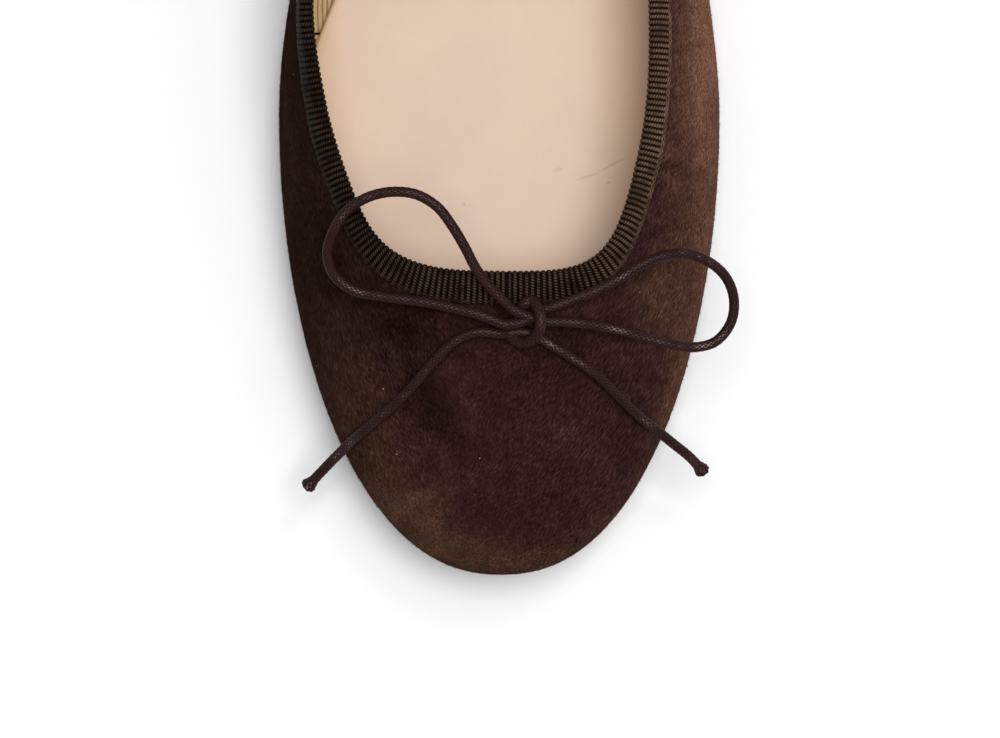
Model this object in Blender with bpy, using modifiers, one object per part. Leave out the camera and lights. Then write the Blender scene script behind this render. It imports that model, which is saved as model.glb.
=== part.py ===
"""Ballet flat for the left foot: a suede upper with a grosgrain collar binding, a small cord bow,
a leather sole with toe spring and arch, a low heel and an insole.

Metres, +Z up. The toe points along -Y and the outer (lateral) side is +X. The origin is on the
floor under the middle of the shoe. A place is given by its side (+1 lateral, -1 medial) and its
station, the distance from the toe tip. "Turn" runs along a side: 0 at the toe tip, 1 at the ball,
2 at the heel centre and 3 at the back of the heel.
"""

import math

import bmesh
import bpy
import numpy as np
from mathutils import Vector
from mathutils.bvhtree import BVHTree

# Size of the shoe over all
LENGTH = 0.247
BALL_WIDTH = 0.0866
HEEL_WIDTH = 0.060
THROAT_HEIGHT = 0.0355
SIDE_HEIGHT = 0.0325
BACK_HEIGHT = 0.060

# Stations, as shares of the length
BALL = 0.364
HEEL_CENTRE = 0.870
THROAT = 0.232
FLAT_FROM = 0.215
FLAT_TO = 0.425
SEAT_FROM = 0.750
HEEL_BREAST = 0.800

# Bottom
TOE_SPRING = 0.007
OUTSOLE_THICKNESS = 0.003
OUTSOLE_MARGIN = 0.0008
EDGE_ROUND = 0.0006
STACK_HEIGHT = 0.0062
LIFT_THICKNESS = 0.0028
HEEL_INSET = 0.0006
HEEL_TAPER = 0.0010
INSOLE_THICKNESS = 0.0020
INSOLE_GAP = 0.0010
CLEARANCE = 0.0003

# Upper
WALL = 0.0015
FLANGE = 0.005
TOE_UNDERCUT = 0.0038
HEEL_UNDERCUT = 0.0042
BACK_LEAN = 0.004
BELLY_SHARE = 0.26

# Collar binding
TAPE = 0.0005
LEG_OUTSIDE = 0.0024
LEG_AT_THROAT = 0.0048
LEG_INSIDE = 0.0034

# Bow
CORD = 0.0020
KNOT_ACROSS = 0.0040
KNOT_AHEAD = 0.0087
LOOSE_SPACING = 2.4
KNOT_SPACING = 0.8
KNOT_STRAND = 0.0023

# How the widest line and the collar run from the ball to the heel centre.
# narrowing: 0 at the ball's half-width, 1 at the heel's. undercut (feather line) and lean (collar)
# are measured in from the widest line, as shares of half the ball width. rise: the collar's
# height, 0 at SIDE_HEIGHT and 1 at BACK_HEIGHT. plumb: how upright the wall arrives at the collar.
COLUMNS = ("station", "narrowing", "undercut", "lean", "rise", "plumb")
MEDIAL = (
    (0.364, 0.00, 0.070, 0.164, 0.00, 0.55),
    (0.453, 0.15, 0.170, 0.052, 0.05, 0.80),
    (0.567, 0.57, 0.245, 0.035, 0.13, 0.90),
    (0.668, 0.89, 0.175, 0.035, 0.29, 0.95),
    (0.769, 1.01, 0.105, 0.070, 0.51, 1.00),
    (0.870, 1.00, 0.085, 0.105, 0.75, 1.10),
)
LATERAL = (
    (0.364, 0.00, 0.080, 0.338, 0.00, 0.35),
    (0.453, 0.14, 0.085, 0.277, -0.02, 0.45),
    (0.567, 0.42, 0.105, 0.221, 0.04, 0.60),
    (0.668, 0.70, 0.115, 0.179, 0.18, 0.75),
    (0.769, 0.90, 0.100, 0.150, 0.41, 0.90),
    (0.870, 1.00, 0.085, 0.128, 0.68, 1.10),
)
PROFILE = {-1: np.array(MEDIAL), 1: np.array(LATERAL)}

# Squareness of the ends of each line, as superellipse exponents (along the shoe, across it)
TOE_FORM = (1.95, 2.25)
THROAT_FORM = {-1: (2.0, 3.15), 1: (2.0, 3.65)}
HEEL_FORM = (2.05, 2.15)
COLLAR_BACK_FORM = (2.0, 2.1)

# Faces: turns of the columns on each side, and rows up the wall
TOE_COLUMNS = 15
SIDE_COLUMNS = 14
HEEL_COLUMNS = 8
BULGE_ROWS = (0.40, 0.75, 1.0)
WALL_ROWS = 8
ROUND_STEPS = 5

# The cord's route, in millimetres from the knot: across (+ lateral), back (+ to the heel) and
# height over the leather under the knot. Points too low for the upper are laid on it.
LOOP_MEDIAL = (
    (-3.8, 3.7, 4.4), (-6.5, 6.3, 5.2), (-9.8, 10.4, 6.4), (-12.5, 15.3, 7.8), (-15.7, 20.2, 8.8),
    (-19.3, 23.8, 9.2), (-25.1, 25.2, 8.8), (-31.0, 24.0, 7.6), (-35.1, 21.1, 6.2), (-37.2, 17.4, 4.6),
    (-38.2, 13.1, 2.8), (-36.5, 9.0, 1.2), (-32.8, 6.5, 0.8), (-26.6, 5.3, 1.4), (-19.9, 4.4, 2.4),
    (-14.6, 3.3, 3.2), (-9.1, 1.9, 3.9), (-5.5, 0.5, 4.1),
)
LOOP_LATERAL = (
    (4.2, 3.2, 3.4), (7.5, 4.4, 3.6), (13.3, 6.7, 4.0), (17.7, 9.0, 4.2), (22.3, 11.8, 4.0),
    (26.3, 13.3, 3.4), (29.8, 13.8, 2.4), (33.8, 12.8, 1.0), (37.6, 10.3, -0.6), (39.6, 7.2, -2.0),
    (40.3, 3.7, -3.2), (39.4, -0.2, -4.0), (37.1, -2.9, -4.4), (33.9, -4.2, -4.2), (29.6, -3.9, -3.4),
    (25.1, -2.9, -2.0), (20.3, -1.6, -0.2), (15.5, -0.5, 1.4), (10.7, 0.3, 2.6), (7.2, 0.6, 3.2),
    (4.6, 0.6, 3.4),
)
END_MEDIAL = (
    (-4.9, -1.7, 1.3), (-8.3, -1.2, 1.2), (-13.1, -2.6, 0.5), (-16.6, -5.7, -0.5),
    (-20.2, -9.8, -2.1), (-23.8, -13.9, -4.1), (-28.2, -18.0, -7.5), (-33.1, -22.3, -13.4),
    (-37.6, -26.9, -17.5), (-41.7, -31.4, -21.4),
)
END_LATERAL = (
    (4.2, -3.5, 0.8), (6.9, -5.2, -0.2), (10.6, -7.3, -1.3), (14.2, -10.0, -2.9),
    (17.6, -13.2, -4.9), (21.3, -16.8, -7.4), (24.9, -19.5, -9.6), (28.5, -22.3, -12.2),
    (32.5, -25.3, -15.4), (35.7, -28.4, -18.4),
)
KNOT_WRAP = (
    (-2.4, 3.6, 1.6), (-0.9, 4.5, 2.0), (0.8, 4.2, 3.6), (1.9, 2.8, 5.0), (2.3, 0.8, 5.5),
    (2.0, -1.2, 5.2), (0.8, -2.8, 3.8), (-1.0, -3.5, 2.6), (-3.0, -3.5, 1.8),
)
KNOT_STRANDS = (
    ((-3.4, 3.2, 4.3), (-0.6, 1.8, 3.9), (3.1, 0.6, 3.4)),
    ((-4.5, 0.1, 4.0), (-0.8, 0.6, 3.5), (3.2, 2.9, 3.3)),
    ((-4.0, -1.6, 1.7), (-0.6, -1.4, 2.0), (3.1, -2.9, 1.6)),
    ((-2.6, 1.4, 1.6), (0.4, 0.8, 1.7), (2.8, -1.2, 1.6)),
)

SUEDE = ("suede_plum", (0.036, 0.019, 0.018), 0.92)
GROSGRAIN = ("grosgrain_brown", (0.018, 0.011, 0.008), 0.70)
WAXED_CORD = ("waxed_cord", (0.042, 0.026, 0.026), 0.45)
SOLE_LEATHER = ("sole_leather", (0.085, 0.050, 0.032), 0.55)
HEEL_LEATHER = ("heel_leather", (0.045, 0.027, 0.020), 0.50)
RUBBER = ("heel_rubber", (0.020, 0.018, 0.017), 0.80)
INSOLE_LEATHER = ("insole_leather", (0.76, 0.59, 0.47), 0.50)


def clear_scene():
    for item in list(bpy.data.objects):
        bpy.data.objects.remove(item, do_unlink=True)


def material(finish):
    name, colour, roughness = finish
    made = bpy.data.materials.new(name)
    made.use_nodes = True
    shader = made.node_tree.nodes["Principled BSDF"]
    shader.inputs["Base Color"].default_value = (*colour, 1.0)
    shader.inputs["Roughness"].default_value = roughness
    shader.inputs["Metallic"].default_value = 0.0
    return made


def smoothstep(share):
    share = np.clip(share, 0.0, 1.0)
    return share * share * (3.0 - 2.0 * share)


def column(side, name, station):
    """A value of the side's table at any station: a cubic through its rows that leaves the
    first row level and ends freely."""
    rows = PROFILE[side]
    at = rows[:, 0] * LENGTH
    values = rows[:, COLUMNS.index(name)]
    steps = np.diff(at)
    size = len(at)
    system = np.zeros((size, size))
    rates = np.zeros(size)
    system[0, 0] = 1.0
    if name == "lean":
        rates[0] = (values[1] - values[0]) / steps[0]
    system[-1, -2:] = 1.0, 2.0
    rates[-1] = 3.0 * (values[-1] - values[-2]) / steps[-1]
    if name == "narrowing":
        system[-1, -2:] = 0.0, 1.0
        rates[-1] = 0.0
    for i in range(1, size - 1):
        before, after = steps[i - 1], steps[i]
        system[i, i - 1: i + 2] = after, 2.0 * (before + after), before
        rates[i] = 3.0 * (after * (values[i] - values[i - 1]) / before
                          + before * (values[i + 1] - values[i]) / after)
    slopes = np.linalg.solve(system, rates)
    station = np.clip(station, at[0], at[-1])
    i = np.clip(np.searchsorted(at, station) - 1, 0, size - 2)
    t = (station - at[i]) / steps[i]
    return (values[i] * (1 + 2 * t) * (1 - t) ** 2 + values[i + 1] * t * t * (3 - 2 * t)
            + steps[i] * (slopes[i] * t * (1 - t) ** 2 - slopes[i + 1] * t * t * (1 - t)))


def half_width(side, station):
    """The widest line's half-width at a station between the ball and the heel centre."""
    narrowing = column(side, "narrowing", station)
    return BALL_WIDTH / 2 - narrowing * (BALL_WIDTH - HEEL_WIDTH) / 2


def bottom_height(station):
    """Height of the outsole's underside: toe spring, flat forefoot, arch, heel seat."""
    share = station / LENGTH
    spring = TOE_SPRING * np.clip(1.0 - share / FLAT_FROM, 0.0, None) ** 2
    arch = heel_height() * smoothstep((share - FLAT_TO) / (SEAT_FROM - FLAT_TO))
    return spring + arch


def heel_height():
    return STACK_HEIGHT + LIFT_THICKNESS + 2 * CLEARANCE


def bed_height(station):
    """Height of the outsole's top, which the lasting margin lies on."""
    return bottom_height(station) + OUTSOLE_THICKNESS


def ring_line(turn, side, inset, front, back, toe_form, heel_form):
    """Half-width and station of a line that runs round the shoe inside its widest line: a
    superellipse round the toe, the side's table, and a superellipse round the heel, each
    meeting the side in its own direction."""
    ball, centre = BALL * LENGTH, HEEL_CENTRE * LENGTH

    def side_half(station):
        return half_width(side, station) - inset(station)

    step = 0.0005
    ball_slope = (side_half(ball + step) - side_half(ball)) / step
    heel_slope = (side_half(centre) - side_half(centre - step)) / step
    angle = np.clip(turn, 0.0, 1.0) * math.pi / 2
    ahead = (ball - front) * np.clip(np.cos(angle), 0, 1) ** (2 / toe_form[0])
    toe = side_half(ball) * np.sin(angle) ** (2 / toe_form[1]) - ball_slope * ahead * np.sin(angle) ** 4
    along = ball + (centre - ball) * np.clip(turn - 1.0, 0.0, 1.0)
    angle = np.clip(turn - 2.0, 0.0, 1.0) * math.pi / 2
    behind = (back - centre) * np.sin(angle) ** (2 / heel_form[0])
    heel = (side_half(centre) * np.clip(np.cos(angle), 0, 1) ** (2 / heel_form[1])
            + heel_slope * behind * np.cos(angle) ** 2)
    half = np.where(turn < 1.0, toe, np.where(turn > 2.0, heel, side_half(along)))
    station = np.where(turn < 1.0, ball - ahead, np.where(turn > 2.0, centre + behind, along))
    return half, station


def outline(turn, side):
    return ring_line(turn, side, lambda s: 0.0 * s, 0.0, LENGTH, TOE_FORM, HEEL_FORM)


def feather(turn, side, inward=0.0):
    """The line where the wall turns in under the foot, or a line further in."""
    def inset(station):
        return column(side, "undercut", station) * BALL_WIDTH / 2 + inward
    return ring_line(turn, side, inset, TOE_UNDERCUT + inward, LENGTH - HEEL_UNDERCUT - inward,
                     TOE_FORM, HEEL_FORM)


def collar(turn, side):
    """The upper's top edge: half-width, station and height."""
    def inset(station):
        return column(side, "lean", station) * BALL_WIDTH / 2
    half, station = ring_line(turn, side, inset, THROAT * LENGTH, LENGTH - BACK_LEAN,
                              THROAT_FORM[side], COLLAR_BACK_FORM)
    rise = column(side, "rise", station)
    height = SIDE_HEIGHT + rise * (BACK_HEIGHT - SIDE_HEIGHT)
    throat = SIDE_HEIGHT + (THROAT_HEIGHT - SIDE_HEIGHT) * np.cos(np.clip(turn, 0, 1) * math.pi / 2) ** 2
    back = height + (BACK_HEIGHT - height) * np.sin(np.clip(turn - 2, 0, 1) * math.pi / 2)
    return half, station, np.where(turn < 1.0, throat, np.where(turn > 2.0, back, height))


def columns_round():
    """(side, turn) of each column: from the toe along the lateral side to the heel and back
    along the medial side."""
    zones = ((0.0, TOE_COLUMNS), (1.0, SIDE_COLUMNS), (2.0, HEEL_COLUMNS))
    turns = [start + i / count for start, count in zones for i in range(count)] + [3.0]
    return [(1, turn) for turn in turns] + [(-1, turn) for turn in reversed(turns[1:-1])]


def placed(side, half, station, height):
    return np.stack([side * half, station - LENGTH / 2, height + 0.0 * half], axis=-1)


def wall_guides(side, turn):
    """The four guide points of a column's curve from the widest line to the collar."""
    foot = bed_height(feather(turn, side)[1]) + CLEARANCE
    rim = placed(side, *collar(turn, side))
    half, station = outline(turn, side)
    rim_rise = rim[..., 2] - foot
    low = placed(side, half, station, foot + BELLY_SHARE * rim_rise)
    rise = (rim[..., 2] - low[..., 2])[..., None]
    fan = np.cos(np.clip(turn, 0.0, 1.0) * math.pi / 2) ** 2
    plumb = column(side, "plumb", np.where(turn < 1.0, BALL * LENGTH, station))
    drop = (plumb * (1.0 - fan) + 1.35 * fan)[..., None] / 3.0
    reach = (0.45 - 0.12 * np.clip(plumb, 0, 1) * (1.0 - fan) + 0.10 * fan)[..., None]
    across = (low - rim) * np.array([1.0, 1.0, 0.0])
    up = np.array([0.0, 0.0, 1.0])
    return low, low + up * rise * 0.36, rim + across * reach - up * rise * drop, rim


def on_wall(guides, share):
    """Point and direction on the columns' curves: 0 at the widest line, 1 at the collar."""
    a, b, c, d = guides
    s = np.asarray(share)[..., None]
    r = 1.0 - s
    point = a * r ** 3 + 3 * b * r * r * s + 3 * c * r * s * s + d * s ** 3
    along = 3 * ((b - a) * r * r + 2 * (c - b) * r * s + (d - c) * s * s)
    return point, along


def upper_rows():
    """The upper's outer surface as rows of points, from the lasting margin to the collar."""
    places = columns_round()
    lines = []
    for side, turn in places:
        turn = np.float64(turn)
        inner_half, inner_station = feather(turn, side, FLANGE)
        half, station = feather(turn, side)
        start = placed(side, half, station, bed_height(station) + CLEARANCE)
        margin = placed(side, inner_half, inner_station, bed_height(inner_station) + CLEARANCE)
        guides = wall_guides(side, turn)
        line = [margin, start]
        for share in BULGE_ROWS:
            angle = share * math.pi / 2
            part = np.array([math.sin(angle), math.sin(angle), 1.0 - math.cos(angle)])
            line.append(start + (guides[0] - start) * part)
        for i in range(1, WALL_ROWS + 1):
            line.append(on_wall(guides, i / WALL_ROWS)[0])
        lines.append(line)
    return np.array(lines).transpose(1, 0, 2)


def new_object(name, mesh, finish):
    item = bpy.data.objects.new(name, mesh)
    item.data.materials.append(material(finish))
    return item


def ring_mesh(name, rows, closed_section):
    """A surface through rows of points that run round the shoe."""
    count, around = rows.shape[:2]
    last = count if closed_section else count - 1
    faces = []
    for i in range(last):
        j = (i + 1) % count
        for k in range(around):
            n = (k + 1) % around
            faces.append((i * around + k, i * around + n, j * around + n, j * around + k))
    mesh = bpy.data.meshes.new(name)
    mesh.from_pydata([tuple(p) for p in rows.reshape(-1, 3)], [], faces)
    return mesh


def make_upper():
    mesh = ring_mesh("upper", upper_rows(), closed_section=False)
    item = new_object("upper", mesh, SUEDE)
    wall = item.modifiers.new("wall", "SOLIDIFY")
    wall.thickness = WALL
    wall.offset = -1.0
    wall.use_even_offset = True
    wall.use_quality_normals = True
    mesh.shade_smooth()
    return item


def make_binding():
    """The tape folded over the collar: its section goes down the outside, over the edge and down
    the inside, and back at the tape's thickness."""
    places = columns_round()
    sides = np.array([place[0] for place in places])
    turns = np.array([place[1] for place in places])
    guides = [np.where((sides == 1)[:, None], a, b)
              for a, b in zip(wall_guides(1, turns), wall_guides(-1, turns))]
    half_outer = WALL / 2 + CLEARANCE + TAPE
    half_inner = WALL / 2 + CLEARANCE
    at_throat = np.cos(np.clip(turns, 0.0, 1.0) * math.pi / 2)
    leg = LEG_OUTSIDE + (LEG_AT_THROAT - LEG_OUTSIDE) * at_throat
    section = [(leg, half_outer), (leg / 2, half_outer)]
    arc = [math.pi * i / ROUND_STEPS for i in range(ROUND_STEPS + 1)]
    section += [(-half_outer * math.sin(a), half_outer * math.cos(a)) for a in arc]
    section += [(LEG_INSIDE / 2, -half_outer), (LEG_INSIDE, -half_outer)]
    section += [(LEG_INSIDE, -half_inner), (LEG_INSIDE / 2, -half_inner)]
    section += [(-half_inner * math.sin(a), half_inner * math.cos(a)) for a in reversed(arc[::2] + arc[-1:])]
    section += [(leg / 2, half_inner), (leg, half_inner)]
    pull = np.linalg.norm(on_wall(guides, np.ones(len(turns)))[1], axis=1)
    rows = []
    for depth, offset in section:
        point, along = on_wall(guides, 1.0 - np.maximum(depth, 0.0) / pull)
        along = along / np.linalg.norm(along, axis=1)[:, None]
        around = np.roll(point, -1, axis=0) - np.roll(point, 1, axis=0)
        outward = np.cross(around, along)
        outward /= np.linalg.norm(outward, axis=1)[:, None]
        beyond = np.minimum(depth, 0.0) * np.ones(len(turns))
        rows.append(point + outward * (offset - WALL / 2) - along * beyond[:, None])
    mesh = ring_mesh("collar_binding", np.array(rows), closed_section=True)
    mesh.shade_smooth()
    return new_object("collar_binding", mesh, GROSGRAIN)


def slab_mesh(name, turns, section, capped_front):
    """A closed slab: at each turn its section is a loop of points across the shoe. Where the
    two sides meet at the toe or heel the loop folds flat and its doubles merge."""
    loops = np.array([section(np.float64(turn)) for turn in turns])
    rows, size = loops.shape[:2]
    faces = [(i * size + k, (i + 1) * size + k, (i + 1) * size + (k + 1) % size, i * size + (k + 1) % size)
             for i in range(rows - 1) for k in range(size)]
    if capped_front:
        faces.append(tuple(range(size)))
    mesh = bpy.data.meshes.new(name)
    mesh.from_pydata([tuple(p) for p in loops.reshape(-1, 3)], [], faces)
    shape = bmesh.new()
    shape.from_mesh(mesh)
    bmesh.ops.remove_doubles(shape, verts=shape.verts, dist=1e-7)
    bmesh.ops.dissolve_degenerate(shape, dist=1e-8, edges=shape.edges)
    bmesh.ops.recalc_face_normals(shape, faces=shape.faces)
    shape.to_mesh(mesh)
    shape.free()
    mesh.shade_smooth()
    mesh.set_sharp_from_angle(angle=math.radians(35))
    return mesh


def slab_turns():
    """Turns for the slabs, closer together at the pointed ends of the rows."""
    toe = [(i / 14) ** 1.3 for i in range(14)]
    side = [1.0 + i / 16 for i in range(16)]
    heel = [3.0 - ((10 - i) / 10) ** 1.3 for i in range(11)]
    return toe + side + heel


def strip(line, turn, height, shares=(1.0,)):
    """Points across the shoe from the lateral to the medial edge of a line, at shares of its
    half-width."""
    out = []
    for share in shares:
        side = 1 if share > 0 else -1
        half, station = line(turn, side)
        out.append(placed(side, half * abs(share), station, height(station)))
    return out


def make_outsole():
    def edge(turn, side):
        return feather(turn, side, -OUTSOLE_MARGIN)

    def low_edge(turn, side):
        return feather(turn, side, EDGE_ROUND - OUTSOLE_MARGIN)

    def section(turn):
        top = strip(low_edge, turn, bed_height, (1.0, 0.5, -0.5, -1.0))
        medial = strip(edge, turn, lambda s: bed_height(s) - EDGE_ROUND, (-1.0,))
        medial += strip(edge, turn, lambda s: bottom_height(s) + EDGE_ROUND, (-1.0,))
        under = strip(low_edge, turn, bottom_height, (-1.0, -0.5, 0.5, 1.0))
        lateral = strip(edge, turn, lambda s: bottom_height(s) + EDGE_ROUND, (1.0,))
        lateral += strip(edge, turn, lambda s: bed_height(s) - EDGE_ROUND, (1.0,))
        return top + medial + under + lateral

    return new_object("outsole", slab_mesh("outsole", slab_turns(), section, False), SOLE_LEATHER)


def make_insole():
    """The insole's rim lies on the lasting margin, and its middle fills the space inside it."""
    step = FLANGE + INSOLE_GAP

    def rim(turn, side):
        return feather(turn, side, INSOLE_GAP)

    def core(turn, side):
        return feather(turn, side, step)

    def top_height(station):
        return rim_height(station) + INSOLE_THICKNESS

    def rim_height(station):
        return bed_height(station) + 2 * CLEARANCE + WALL

    def core_height(station):
        return bed_height(station) + CLEARANCE

    def section(turn):
        top = strip(rim, turn, top_height, (1.0, 0.5, -0.5, -1.0))
        medial = strip(rim, turn, rim_height, (-1.0,)) + strip(core, turn, rim_height, (-1.0,))
        under = strip(core, turn, core_height, (-1.0, 1.0))
        lateral = strip(core, turn, rim_height, (1.0,)) + strip(rim, turn, rim_height, (1.0,))
        return top + medial + under + lateral

    return new_object("insole", slab_mesh("insole", slab_turns(), section, False), INSOLE_LEATHER)


def make_heel_piece(name, low, high, inset, inset_low, finish):
    """A D-shaped heel piece under the seat, with a straight breast at its front."""
    first = 1.0 + (HEEL_BREAST - BALL) / (HEEL_CENTRE - BALL)
    turns = [first + (2.0 - first) * i / 4 for i in range(4)]
    turns += [3.0 - ((10 - i) / 10) ** 1.3 for i in range(11)]

    def section(turn):
        def at(inward, height):
            def line(t, side):
                return feather(t, side, inward - OUTSOLE_MARGIN)
            return strip(line, turn, lambda s: height, (1.0, -1.0))
        return at(inset, high) + at(inset_low, low)[::-1]

    return new_object(name, slab_mesh(name, turns, section, True), finish)


def make_heel():
    split = LIFT_THICKNESS + CLEARANCE
    stack = make_heel_piece("heel_stack", split, heel_height() - CLEARANCE,
                            HEEL_INSET, HEEL_INSET + HEEL_TAPER, HEEL_LEATHER)
    lift = make_heel_piece("heel_top_lift", 0.0, LIFT_THICKNESS,
                           HEEL_INSET + HEEL_TAPER, HEEL_INSET + HEEL_TAPER, RUBBER)
    return [stack, lift]


class Rest:
    """What the bow lies on, for finding the height where a cord touches it."""

    def __init__(self, items):
        graph = bpy.context.evaluated_depsgraph_get()
        self.trees = [BVHTree.FromObject(item, graph) for item in items]

    def height(self, across, along):
        """Height of the upper and binding, seen from above. The inside of the shoe is ignored."""
        above = Vector((across, along, 1.0))
        hits = [tree.ray_cast(above, Vector((0.0, 0.0, -1.0)))[0] for tree in self.trees]
        return max([hit.z for hit in hits if hit is not None and hit.z > THROAT_HEIGHT / 3], default=0.0)

    def laid(self, point, away):
        """The point, raised until it is clear of everything by that distance."""
        point.z = max(point.z, self.height(point.x, point.y) + away)
        for _ in range(12):
            near = min(tree.find_nearest(point)[3] for tree in self.trees)
            if near >= away:
                break
            point.z += away - near + 1e-5
        return point


def knot_place(rest):
    """The point on the leather that the bow's routes are measured from."""
    across, along = KNOT_ACROSS, THROAT * LENGTH - KNOT_AHEAD - LENGTH / 2
    return Vector((across, along, rest.height(across, along)))


def smooth_route(points, spacing):
    """A centripetal curve through the points, read at even distances along it."""
    padded = [2 * points[0] - points[1]] + list(points) + [2 * points[-1] - points[-2]]
    fine = []
    for p0, p1, p2, p3 in zip(padded, padded[1:], padded[2:], padded[3:]):
        k = [0.0]
        for a, b in ((p0, p1), (p1, p2), (p2, p3)):
            k.append(k[-1] + math.sqrt((b - a).length))
        for i in range(12):
            t = k[1] + (k[2] - k[1]) * i / 12
            a1 = p0.lerp(p1, (t - k[0]) / (k[1] - k[0]))
            a2 = p1.lerp(p2, (t - k[1]) / (k[2] - k[1]))
            a3 = p2.lerp(p3, (t - k[2]) / (k[3] - k[2]))
            b1 = a1.lerp(a2, (t - k[0]) / (k[2] - k[0]))
            b2 = a2.lerp(a3, (t - k[1]) / (k[3] - k[1]))
            fine.append(b1.lerp(b2, (t - k[1]) / (k[2] - k[1])))
    fine.append(points[-1].copy())
    along = np.concatenate([[0.0], np.cumsum([(b - a).length for a, b in zip(fine, fine[1:])])])
    count = max(2, round(along[-1] / spacing) + 1)
    at = np.linspace(0.0, along[-1], count)
    lines = [np.interp(at, along, [p[axis] for p in fine]) for axis in range(3)]
    return [Vector(p) for p in zip(*lines)]


def cord_tube(name, points, knot, spacing, diameter, rest):
    """A round cord as a curve through route points given in millimetres from the knot, laid on
    the leather wherever it would sink in."""
    route = smooth_route([knot + Vector(p) / 1000 for p in points], spacing * diameter)
    route = [rest.laid(point, diameter / 2 + CLEARANCE) for point in route]
    curve = bpy.data.curves.new(name, "CURVE")
    curve.dimensions = "3D"
    curve.bevel_depth = diameter / 2
    curve.bevel_resolution = 2
    curve.use_fill_caps = True
    spline = curve.splines.new("POLY")
    spline.points.add(len(route) - 1)
    for target, point in zip(spline.points, route):
        target.co = (*point, 1.0)
    return new_object(name, curve, WAXED_CORD)


def as_mesh(item):
    """The curve object as a mesh object of the same name, with its caps closed."""
    graph = bpy.context.evaluated_depsgraph_get()
    mesh = bpy.data.meshes.new_from_object(item.evaluated_get(graph))
    shape = bmesh.new()
    shape.from_mesh(mesh)
    bmesh.ops.remove_doubles(shape, verts=shape.verts, dist=1e-7)
    bmesh.ops.recalc_face_normals(shape, faces=shape.faces)
    shape.to_mesh(mesh)
    shape.free()
    name, place, homes = item.name, item.matrix_world.copy(), list(item.users_collection)
    bpy.data.objects.remove(item, do_unlink=True)
    made = bpy.data.objects.new(name, mesh)
    made.matrix_world = place
    for home in homes:
        home.objects.link(made)
    return made


def make_knot(model, cutters, knot, rest):
    """The knot: a turn of cord over the strands that it holds, joined into one solid."""
    turn = cord_tube("bow_knot", KNOT_WRAP, knot, KNOT_SPACING, CORD, rest)
    model.objects.link(turn)
    bpy.context.view_layer.update()
    solid = as_mesh(turn)
    for number, points in enumerate(KNOT_STRANDS):
        strand = cord_tube(f"knot_strand_{number}", points, knot, KNOT_SPACING, KNOT_STRAND, rest)
        cutters.objects.link(strand)
        bpy.context.view_layer.update()
        strand = as_mesh(strand)
        strand.hide_render = True
        strand.display_type = "WIRE"
        joined = solid.modifiers.new("strand", "BOOLEAN")
        joined.operation = "UNION"
        joined.object = strand


def make_bow(model, cutters, rest):
    knot = knot_place(rest)
    routes = (("bow_loop_medial", LOOP_MEDIAL), ("bow_loop_lateral", LOOP_LATERAL),
              ("bow_end_medial", END_MEDIAL), ("bow_end_lateral", END_LATERAL))
    for name, points in routes:
        model.objects.link(cord_tube(name, points, knot, LOOSE_SPACING, CORD, rest))
    make_knot(model, cutters, knot, rest)


def main():
    clear_scene()
    model = bpy.data.collections.new("ballet_flat")
    cutters = bpy.data.collections.new("cutters")
    for collection in (model, cutters):
        bpy.context.scene.collection.children.link(collection)
    upper = make_upper()
    binding = make_binding()
    for item in [upper, binding, make_outsole(), make_insole(), *make_heel()]:
        model.objects.link(item)
    bpy.context.view_layer.update()
    make_bow(model, cutters, Rest([upper, binding]))


main()
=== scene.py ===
"""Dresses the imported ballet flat: suede with its nap, grosgrain ribs, a braided waxed bow, linings,
sock, sole and heel, on a plain pale floor.

Metres, +Z up, toe along -Y, outer (lateral) side +X. A place on the shoe is given by its side
(+1 lateral, -1 medial) and its turn: 0 at the toe tip, 1 at the ball, 2 at the heel centre and
3 at the back of the heel. Every new surface is worked out as a grid of points.
"""

import math

import bmesh
import bpy
import numpy as np
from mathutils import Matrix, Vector
from mathutils.bvhtree import BVHTree


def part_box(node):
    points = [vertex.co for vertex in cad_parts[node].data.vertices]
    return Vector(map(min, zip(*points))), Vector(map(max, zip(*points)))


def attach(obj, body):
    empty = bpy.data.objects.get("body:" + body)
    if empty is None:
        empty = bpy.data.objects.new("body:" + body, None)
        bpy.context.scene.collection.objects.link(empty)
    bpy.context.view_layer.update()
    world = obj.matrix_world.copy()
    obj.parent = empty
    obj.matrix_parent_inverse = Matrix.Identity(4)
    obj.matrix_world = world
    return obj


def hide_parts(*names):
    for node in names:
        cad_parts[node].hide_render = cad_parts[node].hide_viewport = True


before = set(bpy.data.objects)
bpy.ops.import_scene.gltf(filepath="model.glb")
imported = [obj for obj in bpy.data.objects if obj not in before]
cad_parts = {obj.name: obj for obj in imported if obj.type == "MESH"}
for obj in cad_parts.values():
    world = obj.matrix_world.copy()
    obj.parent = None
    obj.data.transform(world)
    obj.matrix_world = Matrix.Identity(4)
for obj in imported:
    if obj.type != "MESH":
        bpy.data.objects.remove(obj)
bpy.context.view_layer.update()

bl_info = {
    "name": "Ballet flat dresser",
    "version": (1, 0, 0),
    "blender": (4, 5, 0),
    "location": "View3D > Sidebar > Ballet flat",
    "description": "Dresses the solids of a ballet flat in suede, grosgrain, cord and leather",
    "category": "Object",
}

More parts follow.
